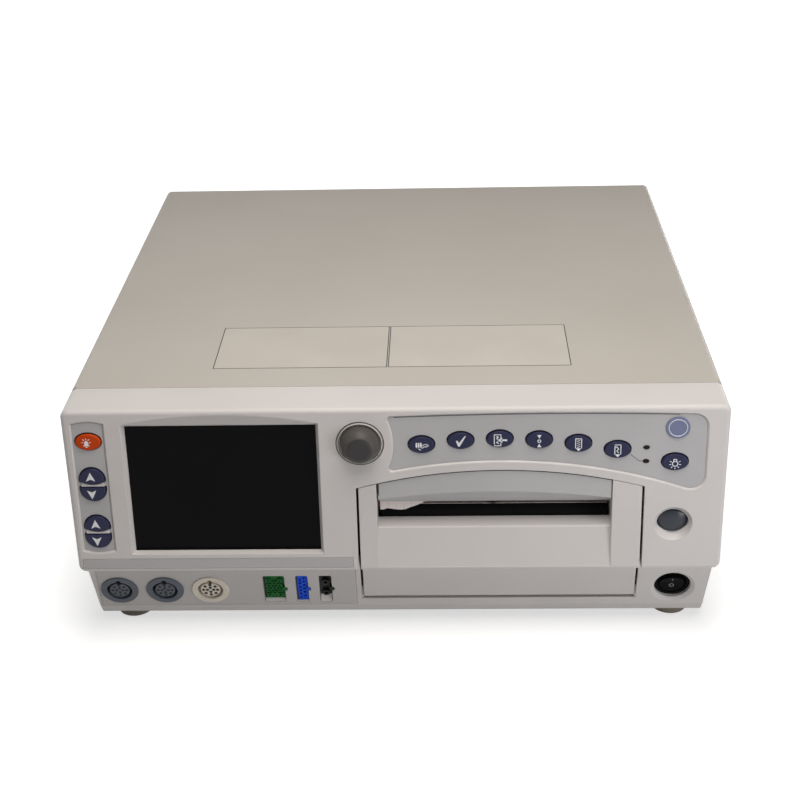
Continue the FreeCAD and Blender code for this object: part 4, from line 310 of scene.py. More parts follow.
def moulded(name, body, aged, rubbed, rough, gloss=0.5, second=None):
    """Injection-moulded plastic: slow colour drift, fine mould grain, paler rubbed edges.

    A second tone, given as (axis, level, colour), covers what lies beyond a level on one axis.
    """
    finish, tree, shader, place = start_finish(name)
    edge, rounded = rubbed_edges(tree)
    drift = cloud(tree, place, DRIFT_SCALE)
    fine = cloud(tree, place, GRAIN_SCALE, detail=2.0)
    tone = mixed(tree, drift, colour(*body), colour(*aged))
    if second:
        axis, level, other = second
        tone = mixed(tree, beyond(tree, place, axis, level), tone, colour(*other))
    fill(tree, shader, {"Base Color": mixed(tree, edge, tone, colour(*rubbed)),
                        "Roughness": between(tree, fine, rough - 0.05, rough + 0.07),
                        "Specular IOR Level": gloss})
    grain_bump(tree, shader, fine, GRAIN_PRESS, GRAIN_DEPTH, rounded)
    return finish


finishes = {
    "bezel_plastic": moulded("warm_grey_moulding", (208, 203, 202), (203, 198, 196), (219, 215, 213),
                             0.46, gloss=0.35),
    "visor_plastic": moulded("visor_grey_moulding", (184, 182, 183), (178, 176, 177), (200, 198, 198),
                             0.42, gloss=0.3),
    "black_plastic": moulded("black_moulding", (13, 13, 14), (18, 18, 19), (36, 36, 37), 0.34, gloss=0.16),
    "key_navy": moulded("navy_key_moulding", (42, 44, 73), (37, 39, 66), (58, 61, 88), 0.36, gloss=0.16),
    "key_orange": moulded("orange_key_moulding", (196, 66, 6), (188, 60, 5), (206, 88, 30), 0.38, gloss=0.12),
    # The knob's side, behind its face, takes a lighter tone: a painted sheen on its cone over the one dark
    # grey plastic.
    "knob": moulded("knob_grey_moulding_and_side_sheen", (54, 51, 52), (50, 47, 48), (80, 76, 74), 0.42, gloss=0.2,
                    second=("Y", KNOB_FACE, (74, 70, 67))),
    "collar": moulded("collar_moulding", (198, 194, 192), (190, 186, 184), (212, 208, 205), 0.42, gloss=0.35),
    "latch_plastic": moulded("latch_slate_moulding", (45, 50, 59), (40, 45, 53), (68, 74, 84),
                             0.20, gloss=0.3),
    "socket_slate": moulded("slate_socket_moulding", (98, 103, 113), (90, 95, 105), (128, 133, 142),
                            0.44, gloss=0.2),
    "socket_cream": moulded("cream_socket_moulding", (226, 217, 203), (218, 208, 193), (236, 229, 217),
                            0.44, gloss=0.3),
    "socket_green": moulded("green_socket_moulding", (14, 96, 36), (11, 86, 31), (48, 134, 70),
                            0.40, gloss=0.12),
    "socket_blue": moulded("blue_socket_moulding", (22, 80, 218), (18, 72, 204), (66, 118, 230),
                           0.40, gloss=0.12),
    "gear_plastic": moulded("gear_moulding", (222, 219, 208), (214, 210, 198), (232, 230, 222), 0.40),
}
print("moulded finishes:", len(finishes))

# %% [markdown]
# ## Paint, bare metal and rubber
# The cover is bent sheet with a baked, lightly textured paint; inside and behind are plated sheet,
# turned steel and brass. Rolled sheet shows long faint streaks, so its noise is stretched along one
# axis, and rubber is dark, dull and dusty.

# %% Paint, metal and rubber finishes
PAINT_DRIFT, PEBBLE_SCALE, SPECK_SCALE, SPECK_SHARE = 5.0, 900.0, 2600.0, 0.10
STREAK_SCALE, STAIN_SCALE, STAIN_SHARE = 60.0, 25.0, 0.35
SKIN_SCALE, DUST_SCALE = 700.0, 60.0
PEBBLE_PRESS, STREAK_PRESS, SKIN_PRESS, SKIN_DEPTH = 0.18, 0.08, 0.25, 0.0003
ACROSS_Y, ALONG_Y = (1.0, 40.0, 1.0), (40.0, 1.0, 40.0)


def painted(name, body, aged, rubbed, rough):
    """Baked texture paint on sheet metal: a pebbled skin and a slow drift towards a dusty tone."""
    finish, tree, shader, place = start_finish(name)
    edge, rounded = rubbed_edges(tree)
    drift = cloud(tree, place, PAINT_DRIFT)
    pebble = cloud(tree, place, PEBBLE_SCALE, detail=1.0)
    speck = cloud(tree, place, SPECK_SCALE, detail=0.0, low=0.2, high=0.8)
    tone = mixed(tree, drift, colour(*body), colour(*aged))
    fleck = mixed(tree, between(tree, speck, 0.0, SPECK_SHARE), tone, colour(*rubbed))
    fill(tree, shader, {"Base Color": mixed(tree, edge, fleck, colour(*rubbed)),
                        "Roughness": between(tree, pebble, rough - 0.06, rough + 0.08),
                        "Specular IOR Level": 0.4})
    grain_bump(tree, shader, pebble, PEBBLE_PRESS, SKIN_DEPTH, rounded)
    return finish


def streaked_metal(name, body, dull, rough, stretch=ACROSS_Y):
    """Rolled, turned or brushed metal: noise drawn out along one axis, in colour, gloss and bump."""
    finish, tree, shader, place = start_finish(name)
    drawn = wire(tree, "Mapping", {"Vector": place, "Scale": stretch}).outputs["Vector"]
    streak = cloud(tree, drawn, STREAK_SCALE, detail=5.0)
    stain = cloud(tree, place, STAIN_SCALE)
    tone = mixed(tree, streak, colour(*body), colour(*dull))
    stained = mixed(tree, between(tree, stain, 0.0, STAIN_SHARE), tone, colour(*dull))
    fill(tree, shader, {"Base Color": stained, "Metallic": 1.0,
                        "Roughness": between(tree, streak, rough - 0.07, rough + 0.10)})
    grain_bump(tree, shader, streak, STREAK_PRESS, GRAIN_DEPTH)
    return finish


def rubbery(name, body, dust, rough, gloss=0.3):
    """Soft rubber: dull, with dust caught in a coarse skin."""
    finish, tree, shader, place = start_finish(name)
    skin = cloud(tree, place, SKIN_SCALE, detail=4.0)
    settled = cloud(tree, place, DUST_SCALE, detail=4.0)
    fill(tree, shader, {"Base Color": mixed(tree, settled, colour(*body), colour(*dust)),
                        "Roughness": between(tree, skin, rough - 0.08, rough + 0.08),
                        "Specular IOR Level": gloss})
    grain_bump(tree, shader, skin, SKIN_PRESS, SKIN_DEPTH)
    return finish


finishes.update({
    "cover_paint": painted("taupe_cover_paint", (186, 180, 173), (179, 172, 164), (198, 193, 186), 0.55),
    "base_metal": painted("pan_paint", (176, 170, 162), (168, 161, 152), (196, 191, 184), 0.52),
    "foot_rubber": rubbery("tan_foot_rubber", (126, 118, 105), (146, 138, 122), 0.75),
    "platen_rubber": rubbery("platen_rubber_black", (11, 11, 12), (16, 16, 17), 0.70, 0.06),
    "steel": streaked_metal("bright_steel", (198, 198, 196), (150, 150, 149), 0.30),
    "frame_steel": streaked_metal("zinc_plated_sheet", (158, 160, 158), (118, 120, 118), 0.38),
    "motor_metal": streaked_metal("motor_can_metal", (176, 176, 174), (130, 130, 128), 0.34),
    "aluminium": streaked_metal("cast_aluminium", (190, 191, 192), (152, 153, 155), 0.36),
    "plated_brass": streaked_metal("plated_brass", (206, 184, 120), (160, 138, 84), 0.28, ALONG_Y),
    "speaker_metal": streaked_metal("speaker_basket_metal", (84, 84, 86), (58, 58, 60), 0.42),
})
print("finishes so far:", len(finishes))

# %% [markdown]
# ## Film, glass, board and paper
# The key panels are printed polyester film with a satin face. The screen is dark glass with a coating
# that kills most of its reflection, so its specular level is low. The board is green solder mask with
# copper showing through in tracks, and the chart paper is thin, matt and a little pink from its grid.

# %% Film, glass, board and paper finishes
SMEAR_SCALE, TOOTH_SCALE, WIPE_SCALE = 22.0, 3200.0, 14.0
TRACK_SCALE, TRACK_INNER, TRACK_OUTER = 120.0, 0.04, 0.07
FIBRE_SCALE, RULE_PITCH, RULE_WIDE = 900.0, 0.005, 0.00018
TOOTH_PRESS, WIPE_PRESS, TRACK_PRESS, FIBRE_PRESS, FINE_DEPTH = 0.06, 0.02, 0.2, 0.15, 0.0001


def satin_film(name, body, aged, rough):
    """Printed polyester film: an even tone, a very fine tooth and faint smears."""
    finish, tree, shader, place = start_finish(name)
    smear = cloud(tree, place, SMEAR_SCALE, detail=4.0)
    tooth = cloud(tree, place, TOOTH_SCALE, detail=1.0)
    fill(tree, shader, {"Base Color": mixed(tree, smear, colour(*body), colour(*aged)),
                        "Roughness": between(tree, smear, rough - 0.05, rough + 0.06),
                        "Specular IOR Level": 0.4})
    grain_bump(tree, shader, tooth, TOOTH_PRESS, FINE_DEPTH)
    return finish


def coated_glass(name, body, smudge, rough):
    """Dark display glass with an anti-reflective coat and a breath of smudges."""
    finish, tree, shader, place = start_finish(name)
    wipe = cloud(tree, place, WIPE_SCALE, detail=5.0)
    fill(tree, shader, {"Base Color": mixed(tree, wipe, colour(*body), colour(*smudge)),
                        "Roughness": between(tree, wipe, rough, rough + 0.10), "Specular IOR Level": 0.04})
    grain_bump(tree, shader, wipe, WIPE_PRESS, FINE_DEPTH)
    return finish


def solder_mask(name, mask, track):
    """A printed circuit board: green mask with tracks drawn by a cell pattern."""
    finish, tree, shader, place = start_finish(name)
    cells = wire(tree, "TexVoronoi", {"Vector": place, "Scale": TRACK_SCALE}, feature="DISTANCE_TO_EDGE")
    tracks = wire(tree, "MapRange", {"Value": cells.outputs["Distance"], "From Min": TRACK_INNER,
                                     "From Max": TRACK_OUTER, "To Min": 1.0, "To Max": 0.0}).outputs["Result"]
    fill(tree, shader, {"Base Color": mixed(tree, tracks, colour(*mask), colour(*track)), "Roughness": 0.35})
    grain_bump(tree, shader, tracks, TRACK_PRESS, FINE_DEPTH)
    return finish


def thermal_paper(name, stock, aged, ruled=None):
    """Chart paper: matt, fibrous, a little pink, and ruled in squares if a colour is given for the lines."""
    finish, tree, shader, place = start_finish(name)
    fibre = cloud(tree, place, FIBRE_SCALE, detail=6.0)
    tone = mixed(tree, fibre, colour(*stock), colour(*aged))
    if ruled:
        upright = wire(tree, "Mapping", {"Vector": place, "Rotation": (math.pi / 2, 0, 0)})
        squares = wire(tree, "TexBrick", {"Vector": upright.outputs["Vector"], "Scale": 1.0,
                                          "Brick Width": RULE_PITCH, "Row Height": RULE_PITCH,
                                          "Mortar Size": RULE_WIDE}, offset=0.0)
        tone = mixed(tree, squares.outputs["Fac"], tone, colour(*ruled))
    fill(tree, shader, {"Base Color": tone, "Roughness": between(tree, fibre, 0.75, 0.9),
                        "Specular IOR Level": 0.25})
    grain_bump(tree, shader, fibre, FIBRE_PRESS, FINE_DEPTH)
    return finish


finishes.update({
    "panel_film": satin_film("panel_film_grey", (181, 178, 180), (175, 172, 174), 0.48),
    "screen": coated_glass("dark_display_glass", (4, 4, 5), (8, 8, 9), 0.12),
    "lamp": coated_glass("unlit_lamp_lens", (38, 33, 33), (46, 40, 39), 0.25),
    "badge": satin_film("badge_blue_foil", (112, 118, 150), (102, 108, 140), 0.30),
    "circuit_board": solder_mask("green_solder_mask", (24, 82, 48), (60, 120, 70)),
    "paper": thermal_paper("chart_paper_stock", (236, 226, 220), (226, 210, 202)),
})
print("finishes in all:", len(finishes))

# %% [markdown]
# ## Dressing the nodes
# Every CAD node names the slot of its material, and takes the finish of that slot. Three kinds of piece
# need one of their own: the platen's blackened shaft, the power switch, which is duller than the other
# black pieces, and the connector plate, whose legend strip is a tone darker.

# %% Dress the nodes
LEGEND_FOOT = 0.0605
for name, node in nodes.items():
    slot = node.data.materials[0].name.split(".")[0]
    node.data.materials[0] = finishes[slot]
black_steel = streaked_metal("blackened_steel", (38, 38, 40), (28, 28, 29), 0.45)
nodes["platen_shaft"].data.materials[0] = black_steel
switch_finish = moulded("switch_black_moulding", (11, 11, 12), (14, 14, 15), (22, 22, 23), 0.55, gloss=0.04)
for name in nodes:
    if name.startswith("power_switch"):
        nodes[name].data.materials[0] = switch_finish
nodes["connector_panel"].data.materials[0] = moulded(
    "connector_plate_moulding", (195, 191, 190), (190, 185, 183), (208, 204, 202), 0.46, gloss=0.3,
    second=("Z", LEGEND_FOOT, (179, 176, 177)))
print("dressed", len(nodes), "nodes with", len(finishes), "finishes")

# %% [markdown]
# ## Marks printed on the keys
# Each key carries one white mark: a tick, an arrow, a lamp. On the real keys they are printed flat, so
# each mark is a set of thin bars, rings and filled shapes laid on the key's face. The face is slightly
# crowned, so every point is dropped onto the node's own surface before the mark is given its place.

# %% Helpers for flat marks
INK_LIFT = 0.00006
INK_DEPTH = 0.00030
OVER_RUN = 0.7


def thicken(shape, faces, rise):
    """Extrudes faces along y by a rise in metres, and gives back the moved vertices."""
    thick = bmesh.ops.extrude_face_region(shape, geom=faces)
    moved = [v for v in thick["geom"] if isinstance(v, bmesh.types.BMVert)]
    bmesh.ops.translate(shape, vec=(0, rise, 0), verts=moved)
    return moved


def bar(shape, start, end, width):
    """A straight printed stroke from start to end, each (x, z) in mm, with a little over-run."""
    a, b = Vector((start[0], start[1])) * MM, Vector((end[0], end[1])) * MM
    run = b - a
    turn = Matrix.Rotation(-math.atan2(run.y, run.x), 4, "Y")
    place = Matrix.Translation(((a.x + b.x) / 2, INK_DEPTH / 2, (a.y + b.y) / 2))
    size = Matrix.Diagonal((run.length + width * MM * OVER_RUN, INK_DEPTH, width * MM, 1))
    made = bmesh.ops.create_cube(shape, size=1.0, matrix=place @ turn @ size)
    edges = {e for v in made["verts"] for e in v.link_edges}
    long_edges = [e for e in edges if e.calc_length() > 2 * width * MM]
    if long_edges:
        bmesh.ops.subdivide_edges(shape, edges=long_edges, cuts=3)


def line(shape, points, width):
    """Strokes joined end to end."""
    for start, end in zip(points, points[1:]):
        bar(shape, start, end, width)


def ring(shape, centre, radius, width, segments=20):
    """A printed circle line, which gives back its vertices."""
    loops = []
    for r in (radius - width / 2, radius + width / 2):
        turn = Matrix.Translation((centre[0] * MM, 0, centre[1] * MM)) @ Matrix.Rotation(math.pi / 2, 4, "X")
        made = bmesh.ops.create_circle(shape, segments=segments, radius=r * MM, matrix=turn)
        loops += list({e for v in made["verts"] for e in v.link_edges})
    front = list({v for e in loops for v in e.verts})
    band = bmesh.ops.bridge_loops(shape, edges=loops)
    return front + thicken(shape, band["faces"], INK_DEPTH)


def patch(shape, points):
    """A filled printed shape from its corners."""
    face = shape.faces.new([shape.verts.new((x * MM, 0, z * MM)) for x, z in points])
    thicken(shape, [face], INK_DEPTH)


def front_middle(node):
    """Middle of a node as seen from the front, (x, z) in mm."""
    low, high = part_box(node)
    return (low.x + high.x) / 2 / MM, (low.z + high.z) / 2 / MM


def surface_of(node):
    """A quick way to ask where a node's surface is."""
    mesh = nodes[node].data
    return BVHTree.FromPolygons([v.co for v in mesh.vertices], [list(p.vertices) for p in mesh.polygons])


def print_on(name, node, shape, centre, ink):
    """Lays a flat mark, drawn round (0, 0), on the front of a node at centre (x, z) in mm."""
    surface = surface_of(node)
    bmesh.ops.recalc_face_normals(shape, faces=shape.faces)
    front = min(v.co.y for v in shape.verts)
    for v in shape.verts:
        v.co.x += centre[0] * MM
        v.co.z += centre[1] * MM
        hit = surface.ray_cast(Vector((v.co.x, -1.0, v.co.z)), Vector((0, 1, 0)))[0]
        v.co.y += hit.y - INK_LIFT - front
    piece = mesh_piece(name, shape, ink)
    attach(piece, nodes[node]["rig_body"])


white_ink = satin_film("white_key_ink", (232, 232, 236), (222, 222, 227), 0.45)
# Dark ink for the printed leader line, also used to paint the shadow line under the bezel's lip.
dark_ink_and_shade = satin_film("dark_legend_ink_and_shade", (62, 60, 62), (72, 70, 71), 0.50)
key_middles = {name: front_middle(name) for name in nodes if name.endswith("_key")}
print("keys to print:", len(key_middles))

# %% [markdown]
# ## Painted shade rims round the keys
# Each key comes through a hole that is wider than its cap, and the gap lies in shade, broader above
# where the light from overhead leaves more of it. That shade is painted: a thin dark ring on the film
# round each key, its outer edge lifted a little so that it is broader above. A copy of the key's mesh,
# cut by the plane of the film's face and cleared on both sides of it, gives the outline. That loop grown
# twice and bridged makes the rim.

# %% Key rims
RIM_INNER, RIM_OUTER, RIM_SHADE_RISE, RIM_PROUD = 0.30, 0.75, 0.22, 0.12
# A dark ring on the film round each key: painted shade in the gap, lifted so that it is broader above.
key_gap_shade = rubbery("key_seal_black", (16, 16, 19), (24, 24, 27), 0.7, 0.08)


def whole(shape):
    """All of a mesh, as a cut by a plane asks for it."""
    return list(shape.verts) + list(shape.edges) + list(shape.faces)


def grown_loop(shape, loop, middle, half, width, rise):
    """A copy of a loop of edges, grown by a width and lifted, in mm."""
    copy = bmesh.ops.duplicate(shape, geom=loop + list({v for e in loop for v in e.verts}))
    verts = [g for g in copy["geom"] if isinstance(g, bmesh.types.BMVert)]
    spread = Matrix.Diagonal((1 + width * MM / half.x, 1, 1 + width * MM / half.z, 1))
    place = Matrix.Translation(middle + Vector((0, 0, rise * MM)))
    bmesh.ops.transform(shape, matrix=place @ spread @ Matrix.Translation(-middle), verts=verts)
    return [g for g in copy["geom"] if isinstance(g, bmesh.types.BMEdge)]


for key in sorted(key_middles):
    panel = "volume_key_panel" if "volume" in key or "alarm" in key else "function_key_panel"
    film_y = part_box(panel)[0].y
    shape = bmesh.new()
    shape.from_mesh(nodes[key].data)
    bmesh.ops.remove_doubles(shape, verts=shape.verts, dist=1e-6)
    bmesh.ops.bisect_plane(shape, geom=whole(shape), dist=1e-7, plane_co=(0, film_y, 0), plane_no=(0, 1, 0),
                           clear_inner=True, clear_outer=True)
    outline = list(shape.edges)
    corners = [v.co.copy() for v in shape.verts]
    low = Vector([min(c[i] for c in corners) for i in range(3)])
    high = Vector([max(c[i] for c in corners) for i in range(3)])
    middle, half = (low + high) / 2, (high - low) / 2
    inner = grown_loop(shape, outline, middle, half, RIM_INNER, 0)
    outer = grown_loop(shape, outline, middle, half, RIM_OUTER, RIM_SHADE_RISE)
    bmesh.ops.delete(shape, geom=list({v for e in outline for v in e.verts}), context="VERTS")
    band = bmesh.ops.bridge_loops(shape, edges=inner + outer)
    thicken(shape, band["faces"], -RIM_PROUD * MM)
    bmesh.ops.recalc_face_normals(shape, faces=shape.faces)
    rim = mesh_piece(f"{key}_rim", shape, key_gap_shade)
    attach(rim, "chassis")
print("rims round", len(key_middles), "keys")

# %% [markdown]
# ## Arrowheads and small drawings
# The volume keys show notched arrowheads, and each function key a small drawing of what it does. A font
# would give a few of them, but in its own style. Strokes and filled shapes, a few corners each in mm
# from the middle of the key, keep the proportions of the print and are easy to change.

# %% Arrowheads on the volume keys
ARROW_HALF, ARROW_TALL, ARROW_NOTCH, ARROW_SHIFT = 3.1, 6.6, 1.5, -0.9
for channel in (1, 2):
    for way, sign in (("up", 1), ("down", -1)):
        key = f"volume_{channel}_{way}_key"
        shape = bmesh.new()
        tip, tail = sign * ARROW_TALL / 2, -sign * ARROW_TALL / 2
        patch(shape, [(0, tip), (ARROW_HALF, tail), (0, tail + sign * ARROW_NOTCH), (-ARROW_HALF, tail)])
        x, z = key_middles[key]
        print_on(f"{key}_arrow", key, shape, (x + ARROW_SHIFT, z), white_ink)
print("printed arrowheads on the volume keys")

# %% Marks on the function keys
STROKE, THIN_STROKE, RAY_STROKE, SHAFT_STROKE = 0.55, 0.4, 0.45, 1.2
BELL_STROKE, CLAPPER_STROKE = 0.5, 0.65
MARK_SHIFT, BELL_SHIFT = (0, -0.4), (-1.0, -0.3)
marks = {name: bmesh.new() for name in key_middles if "volume" not in name}

tick_mark = marks["test_key"]
patch(tick_mark, [(-3.1, 0.5), (-2.0, 0.9), (-1.1, -1.0), (2.7, 4.2), (3.3, 4.0), (-0.6, -3.4), (-1.6, -3.4)])

sheet_mark = marks["mark_key"]
line(sheet_mark, [(0.6, -2.4), (0.6, -4.0), (-3.6, -4.0), (-3.6, 4.0), (0.6, 4.0), (0.6, 2.0)], STROKE)
line(sheet_mark, [(-2.2, 2.8), (-0.8, 2.2), (-2.2, 1.4), (-1.2, 0.6)], STROKE)
line(sheet_mark, [(-1.2, -0.8), (-2.2, -1.6), (-0.8, -2.4)], STROKE)
bar(sheet_mark, (1.0, 0), (4.2, 0), SHAFT_STROKE)
patch(sheet_mark, [(-1.4, 0), (1.4, 2.1), (1.4, -2.1)])

level_mark = marks["reference_key"]
patch(level_mark, [(-1.4, 4.4), (1.4, 4.4), (0, 1.9)])
patch(level_mark, [(-1.4, -4.4), (0, -1.9), (1.4, -4.4)])
ring(level_mark, (0, 0), 0.95, STROKE)

page_mark = marks["paper_advance_key"]
line(page_mark, [(-1.9, -2.4), (-1.9, 4.2), (1.9, 4.2), (1.9, -2.4)], STROKE)
for step in (2.8, 1.3, -0.2, -1.7):
    bar(page_mark, (-0.9, step - 0.4), (0.9, step + 0.4), THIN_STROKE)
patch(page_mark, [(-1.7, -2.6), (0, -4.8), (1.7, -2.6)])

trace_mark = marks["record_key"]
line(trace_mark, [(-1.9, 3.0), (-1.9, -2.4)], STROKE)
line(trace_mark, [(-1.9, 4.2), (1.9, 4.2), (1.9, -2.4)], STROKE)
line(trace_mark, [(-1.9, 3.0), (-0.5, 2.6), (0.5, 1.2), (-0.7, -0.2), (0.6, -1.6)], STROKE)
patch(trace_mark, [(-1.7, -2.6), (0, -4.8), (1.7, -2.6)])

cuff_mark = marks["pressure_key"]
for step in (-3.9, -2.5, -1.1):
    patch(cuff_mark, [(step, -0.4), (step + 0.3, 2.4), (step + 1.2, 2.2), (step + 1.1, -1.8)])
line(cuff_mark, [(0.3, 0.2), (1.6, 0.9), (3.4, 1.0), (4.4, 0.2), (3.2, -0.6), (1.4, -0.7), (0.5, -1.6)],
     STROKE)
line(cuff_mark, [(-1.8, -2.4), (-0.6, -2.9)], STROKE)

bulb_mark = marks["light_key"]
BULB_Z, RAY_START, RAY_END, RAY_FIRST, RAY_TURN = -0.5, 2.7, 3.7, -210, 40
ring(bulb_mark, (0, BULB_Z), 1.75, STROKE)
line(bulb_mark, [(-0.9, 1.3), (-0.9, 2.7), (0.9, 2.7), (0.9, 1.3)], STROKE)
for step in range(7):
    turn = math.radians(RAY_FIRST + RAY_TURN * step)
    ends = [(r * math.cos(turn), r * math.sin(turn) + BULB_Z) for r in (RAY_START, RAY_END)]
    bar(bulb_mark, *ends, RAY_STROKE)

bell_mark = marks["alarm_silence_key"]
patch(bell_mark, [(-2.2, -2.2), (-1.4, -1.3), (-1.2, 0.8), (0, 1.8), (1.2, 0.8), (1.4, -1.3), (2.2, -2.2)])
bar(bell_mark, (-0.5, -2.9), (0.5, -2.9), CLAPPER_STROKE)
bar(bell_mark, (0, 2.5), (0, 3.2), BELL_STROKE)
for side in (-1, 1):
    bar(bell_mark, (1.3 * side, 2.0), (2.0 * side, 2.7), BELL_STROKE)
    bar(bell_mark, (2.1 * side, 0.4), (2.9 * side, 0.5), BELL_STROKE)

for key, shape in marks.items():
    shift = BELL_SHIFT if shape is bell_mark else MARK_SHIFT
    place = [middle + off for middle, off in zip(key_middles[key], shift)]
    print_on(f"{key}_mark", key, shape, place, white_ink)
print("printed marks:", sorted(marks))

# %% [markdown]
# ## Marks on the panel and the power switch, and a painted shadow line
# A thin leader line on the key panel joins the record key to its lamp. A second dark line runs along its
# upper edge, where the film dives under the lip of the bezel: it is painted shade, the lip's shadow on the
# film. The rocker has the usual I and O, printed on its tilted face, and the same drop onto the surface
# lays them on the tilt.

# %% Leader line and painted shadow line
LEADER_START, LEADER_BEND, LEADER_END, LEADER_WIDE = (151.9, 144.9), (5.4, -4.6), (7.0, -4.6), 0.40
PANEL_CROWN, PANEL_DIVE, TOP_LINE_WIDE = 1.9, 0.4, 0.45
TOP_LINE_START, TOP_LINE_STEP, TOP_LINE_STOPS = -0.96, 0.085, 22
shape = bmesh.new()
line(shape, [(0, 0), LEADER_BEND, LEADER_END], LEADER_WIDE)
print_on("record_leader_line", "function_key_panel", shape, LEADER_START, dark_ink_and_shade)
low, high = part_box("function_key_panel")
panel_middle, panel_half = front_middle("function_key_panel")[0], (high.x - low.x) / 2 / MM
shares = [TOP_LINE_START + TOP_LINE_STEP * i for i in range(TOP_LINE_STOPS)]
crown = [(panel_middle + panel_half * t, high.z / MM - PANEL_CROWN * t * t - PANEL_DIVE) for t in shares]
# The upper line is painted shade: the shadow of the bezel's lip on the film.
shape = bmesh.new()
line(shape, crown, TOP_LINE_WIDE)
print_on("panel_top_shade_line", "function_key_panel", shape, (0, 0), dark_ink_and_shade)
print("panel lines printed, the upper one with", len(crown) - 1, "strokes")

# %% Switch marks
SWITCH_MARK_AWAY, SWITCH_STROKE, SWITCH_ON_HALF, SWITCH_OFF_RADIUS = 3.4, 0.45, 1.2, 1.4
grey_ink = satin_film("grey_switch_ink", (150, 150, 152), (138, 138, 140), 0.5)
rocker_x, rocker_z = front_middle("power_switch_rocker")
shape = bmesh.new()
bar(shape, (0, SWITCH_ON_HALF), (0, -SWITCH_ON_HALF), SWITCH_STROKE)
print_on("switch_on_mark", "power_switch_rocker", shape, (rocker_x, rocker_z + SWITCH_MARK_AWAY), grey_ink)
shape = bmesh.new()
ring(shape, (0, 0), SWITCH_OFF_RADIUS, THIN_STROKE, 24)
print_on("switch_off_mark", "power_switch_rocker", shape, (rocker_x, rocker_z - SWITCH_MARK_AWAY), grey_ink)
print("switch marks printed", SWITCH_MARK_AWAY, "mm above and below the middle")

# %% [markdown]
# ## The bare label plate on the cover
# A thin film in the cover's own colour lies near its front, with a fine black frame round each of its
# two fields. The fields are left bare. One thin cube is cut by two planes, one either side of the
# middle rule, and an inset of both fields leaves a narrow band, which only takes another finish.

# %% Label plate
PLATE_LEFT, PLATE_RIGHT = -123.5, 118.0
PLATE_FRONT, PLATE_BACK = -151.5, -84.5
PLATE_THICK = 0.15
RULE_X, RULE_GAP, BORDER = -5.5, 0.5, 0.9
FIELD_LEAST = 1e-3
cover_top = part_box("top_cover")[1].z

plate_film = satin_film("label_plate_film", (192, 185, 177), (187, 180, 171), 0.46)
border_ink = satin_film("label_border_ink", (34, 31, 30), (42, 39, 37), 0.50)
shape = bmesh.new()
size = Vector((PLATE_RIGHT - PLATE_LEFT, PLATE_BACK - PLATE_FRONT, PLATE_THICK)) * MM
middle = Vector((PLATE_LEFT + PLATE_RIGHT, PLATE_FRONT + PLATE_BACK, PLATE_THICK)) / 2 * MM
middle.z += cover_top
bmesh.ops.create_cube(shape, size=1.0, matrix=Matrix.Translation(middle) @ Matrix.Diagonal((*size, 1)))
for cut in (RULE_X - RULE_GAP / 2, RULE_X + RULE_GAP / 2):
    bmesh.ops.bisect_plane(shape, geom=whole(shape), plane_co=(cut * MM, 0, 0), plane_no=(1, 0, 0))
tops = [f for f in shape.faces if f.normal.z > 0.9 and f.calc_area() > FIELD_LEAST]
band = bmesh.ops.inset_individual(shape, faces=tops, thickness=BORDER * MM)
for f in band["faces"]:
    f.material_index = 1
label = mesh_piece("cover_label", shape, [plate_film, border_ink])
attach(label, "chassis")
print("label plate with", len(tops), "fields at", round(cover_top, 4))

# %% [markdown]
# ## The ring on the badge
# The round badge is a plain domed disc. A raised bead runs round its rim and catches the light. A torus
# would do as well, but a small circle that is spun round the middle shows where each size goes.

# %% Badge bead
BEAD_RADIUS, BEAD_THICK = 5.9, 0.34
badge_x, badge_z = front_middle("round_badge")
shape = bmesh.new()
hoop = bmesh.ops.create_circle(shape, segments=10, radius=BEAD_THICK * MM,
                               matrix=Matrix.Translation((BEAD_RADIUS * MM, 0, 0)))
loop = list({e for v in hoop["verts"] for e in v.link_edges})
bmesh.ops.spin(shape, geom=hoop["verts"] + loop, cent=(0, 0, 0), axis=(0, 1, 0), angle=2 * math.pi, steps=48,
               use_merge=True)
bmesh.ops.remove_doubles(shape, verts=shape.verts, dist=1e-7)
print("bead", len(shape.faces), "faces")
bmesh.ops.translate(shape, vec=(badge_x * MM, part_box("round_badge")[0].y, badge_z * MM), verts=shape.verts)
bmesh.ops.recalc_face_normals(shape, faces=shape.faces)
bead_silver = satin_film("badge_silver", (206, 210, 220), (196, 200, 211), 0.30)
bead = mesh_piece("badge_bead", shape, bead_silver)
for face in bead.data.polygons:
    face.use_smooth = True
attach(bead, "chassis")

# %% [markdown]
# ## Painted shade in the seam over the visor and round the knob
# Where the visor meets the arch of the bezel, a narrow gap lies in shade. That shade is painted as one
# curved dark strip on the visor: short straight strokes, each end on the arch, dropped onto the surface
# as the marks are, and one stroke down its left end, where the gap is widest.
# The knob's collar stands in a groove, and two thin dark rings paint the shade in it, one outside the
# collar and one inside.

# %% Visor seam and collar rings
ARCH_MIDDLE, ARCH_CREST, ARCH_RADIUS = 67.95, 135.0, 345.0
SEAM_LEFT, SEAM_RIGHT, SEAM_FOOT, SEAM_WIDE = -11.0, 140.0, 107.5, 0.55
SEAM_BELOW, SEAM_STROKES = 0.85, 40
OUTER_RING, INNER_RING, RING_WIDE = 15.4, 13.68, 0.5
gap_shade_black = satin_film("gap_shadow_black", (18, 17, 17), (24, 23, 23), 0.8)


def seam_height(x):
    """Height of the seam below the bezel's arch at x, both in mm."""
    drop = ARCH_RADIUS - math.sqrt(ARCH_RADIUS ** 2 - (x - ARCH_MIDDLE) ** 2)
    return ARCH_CREST - drop - SEAM_BELOW


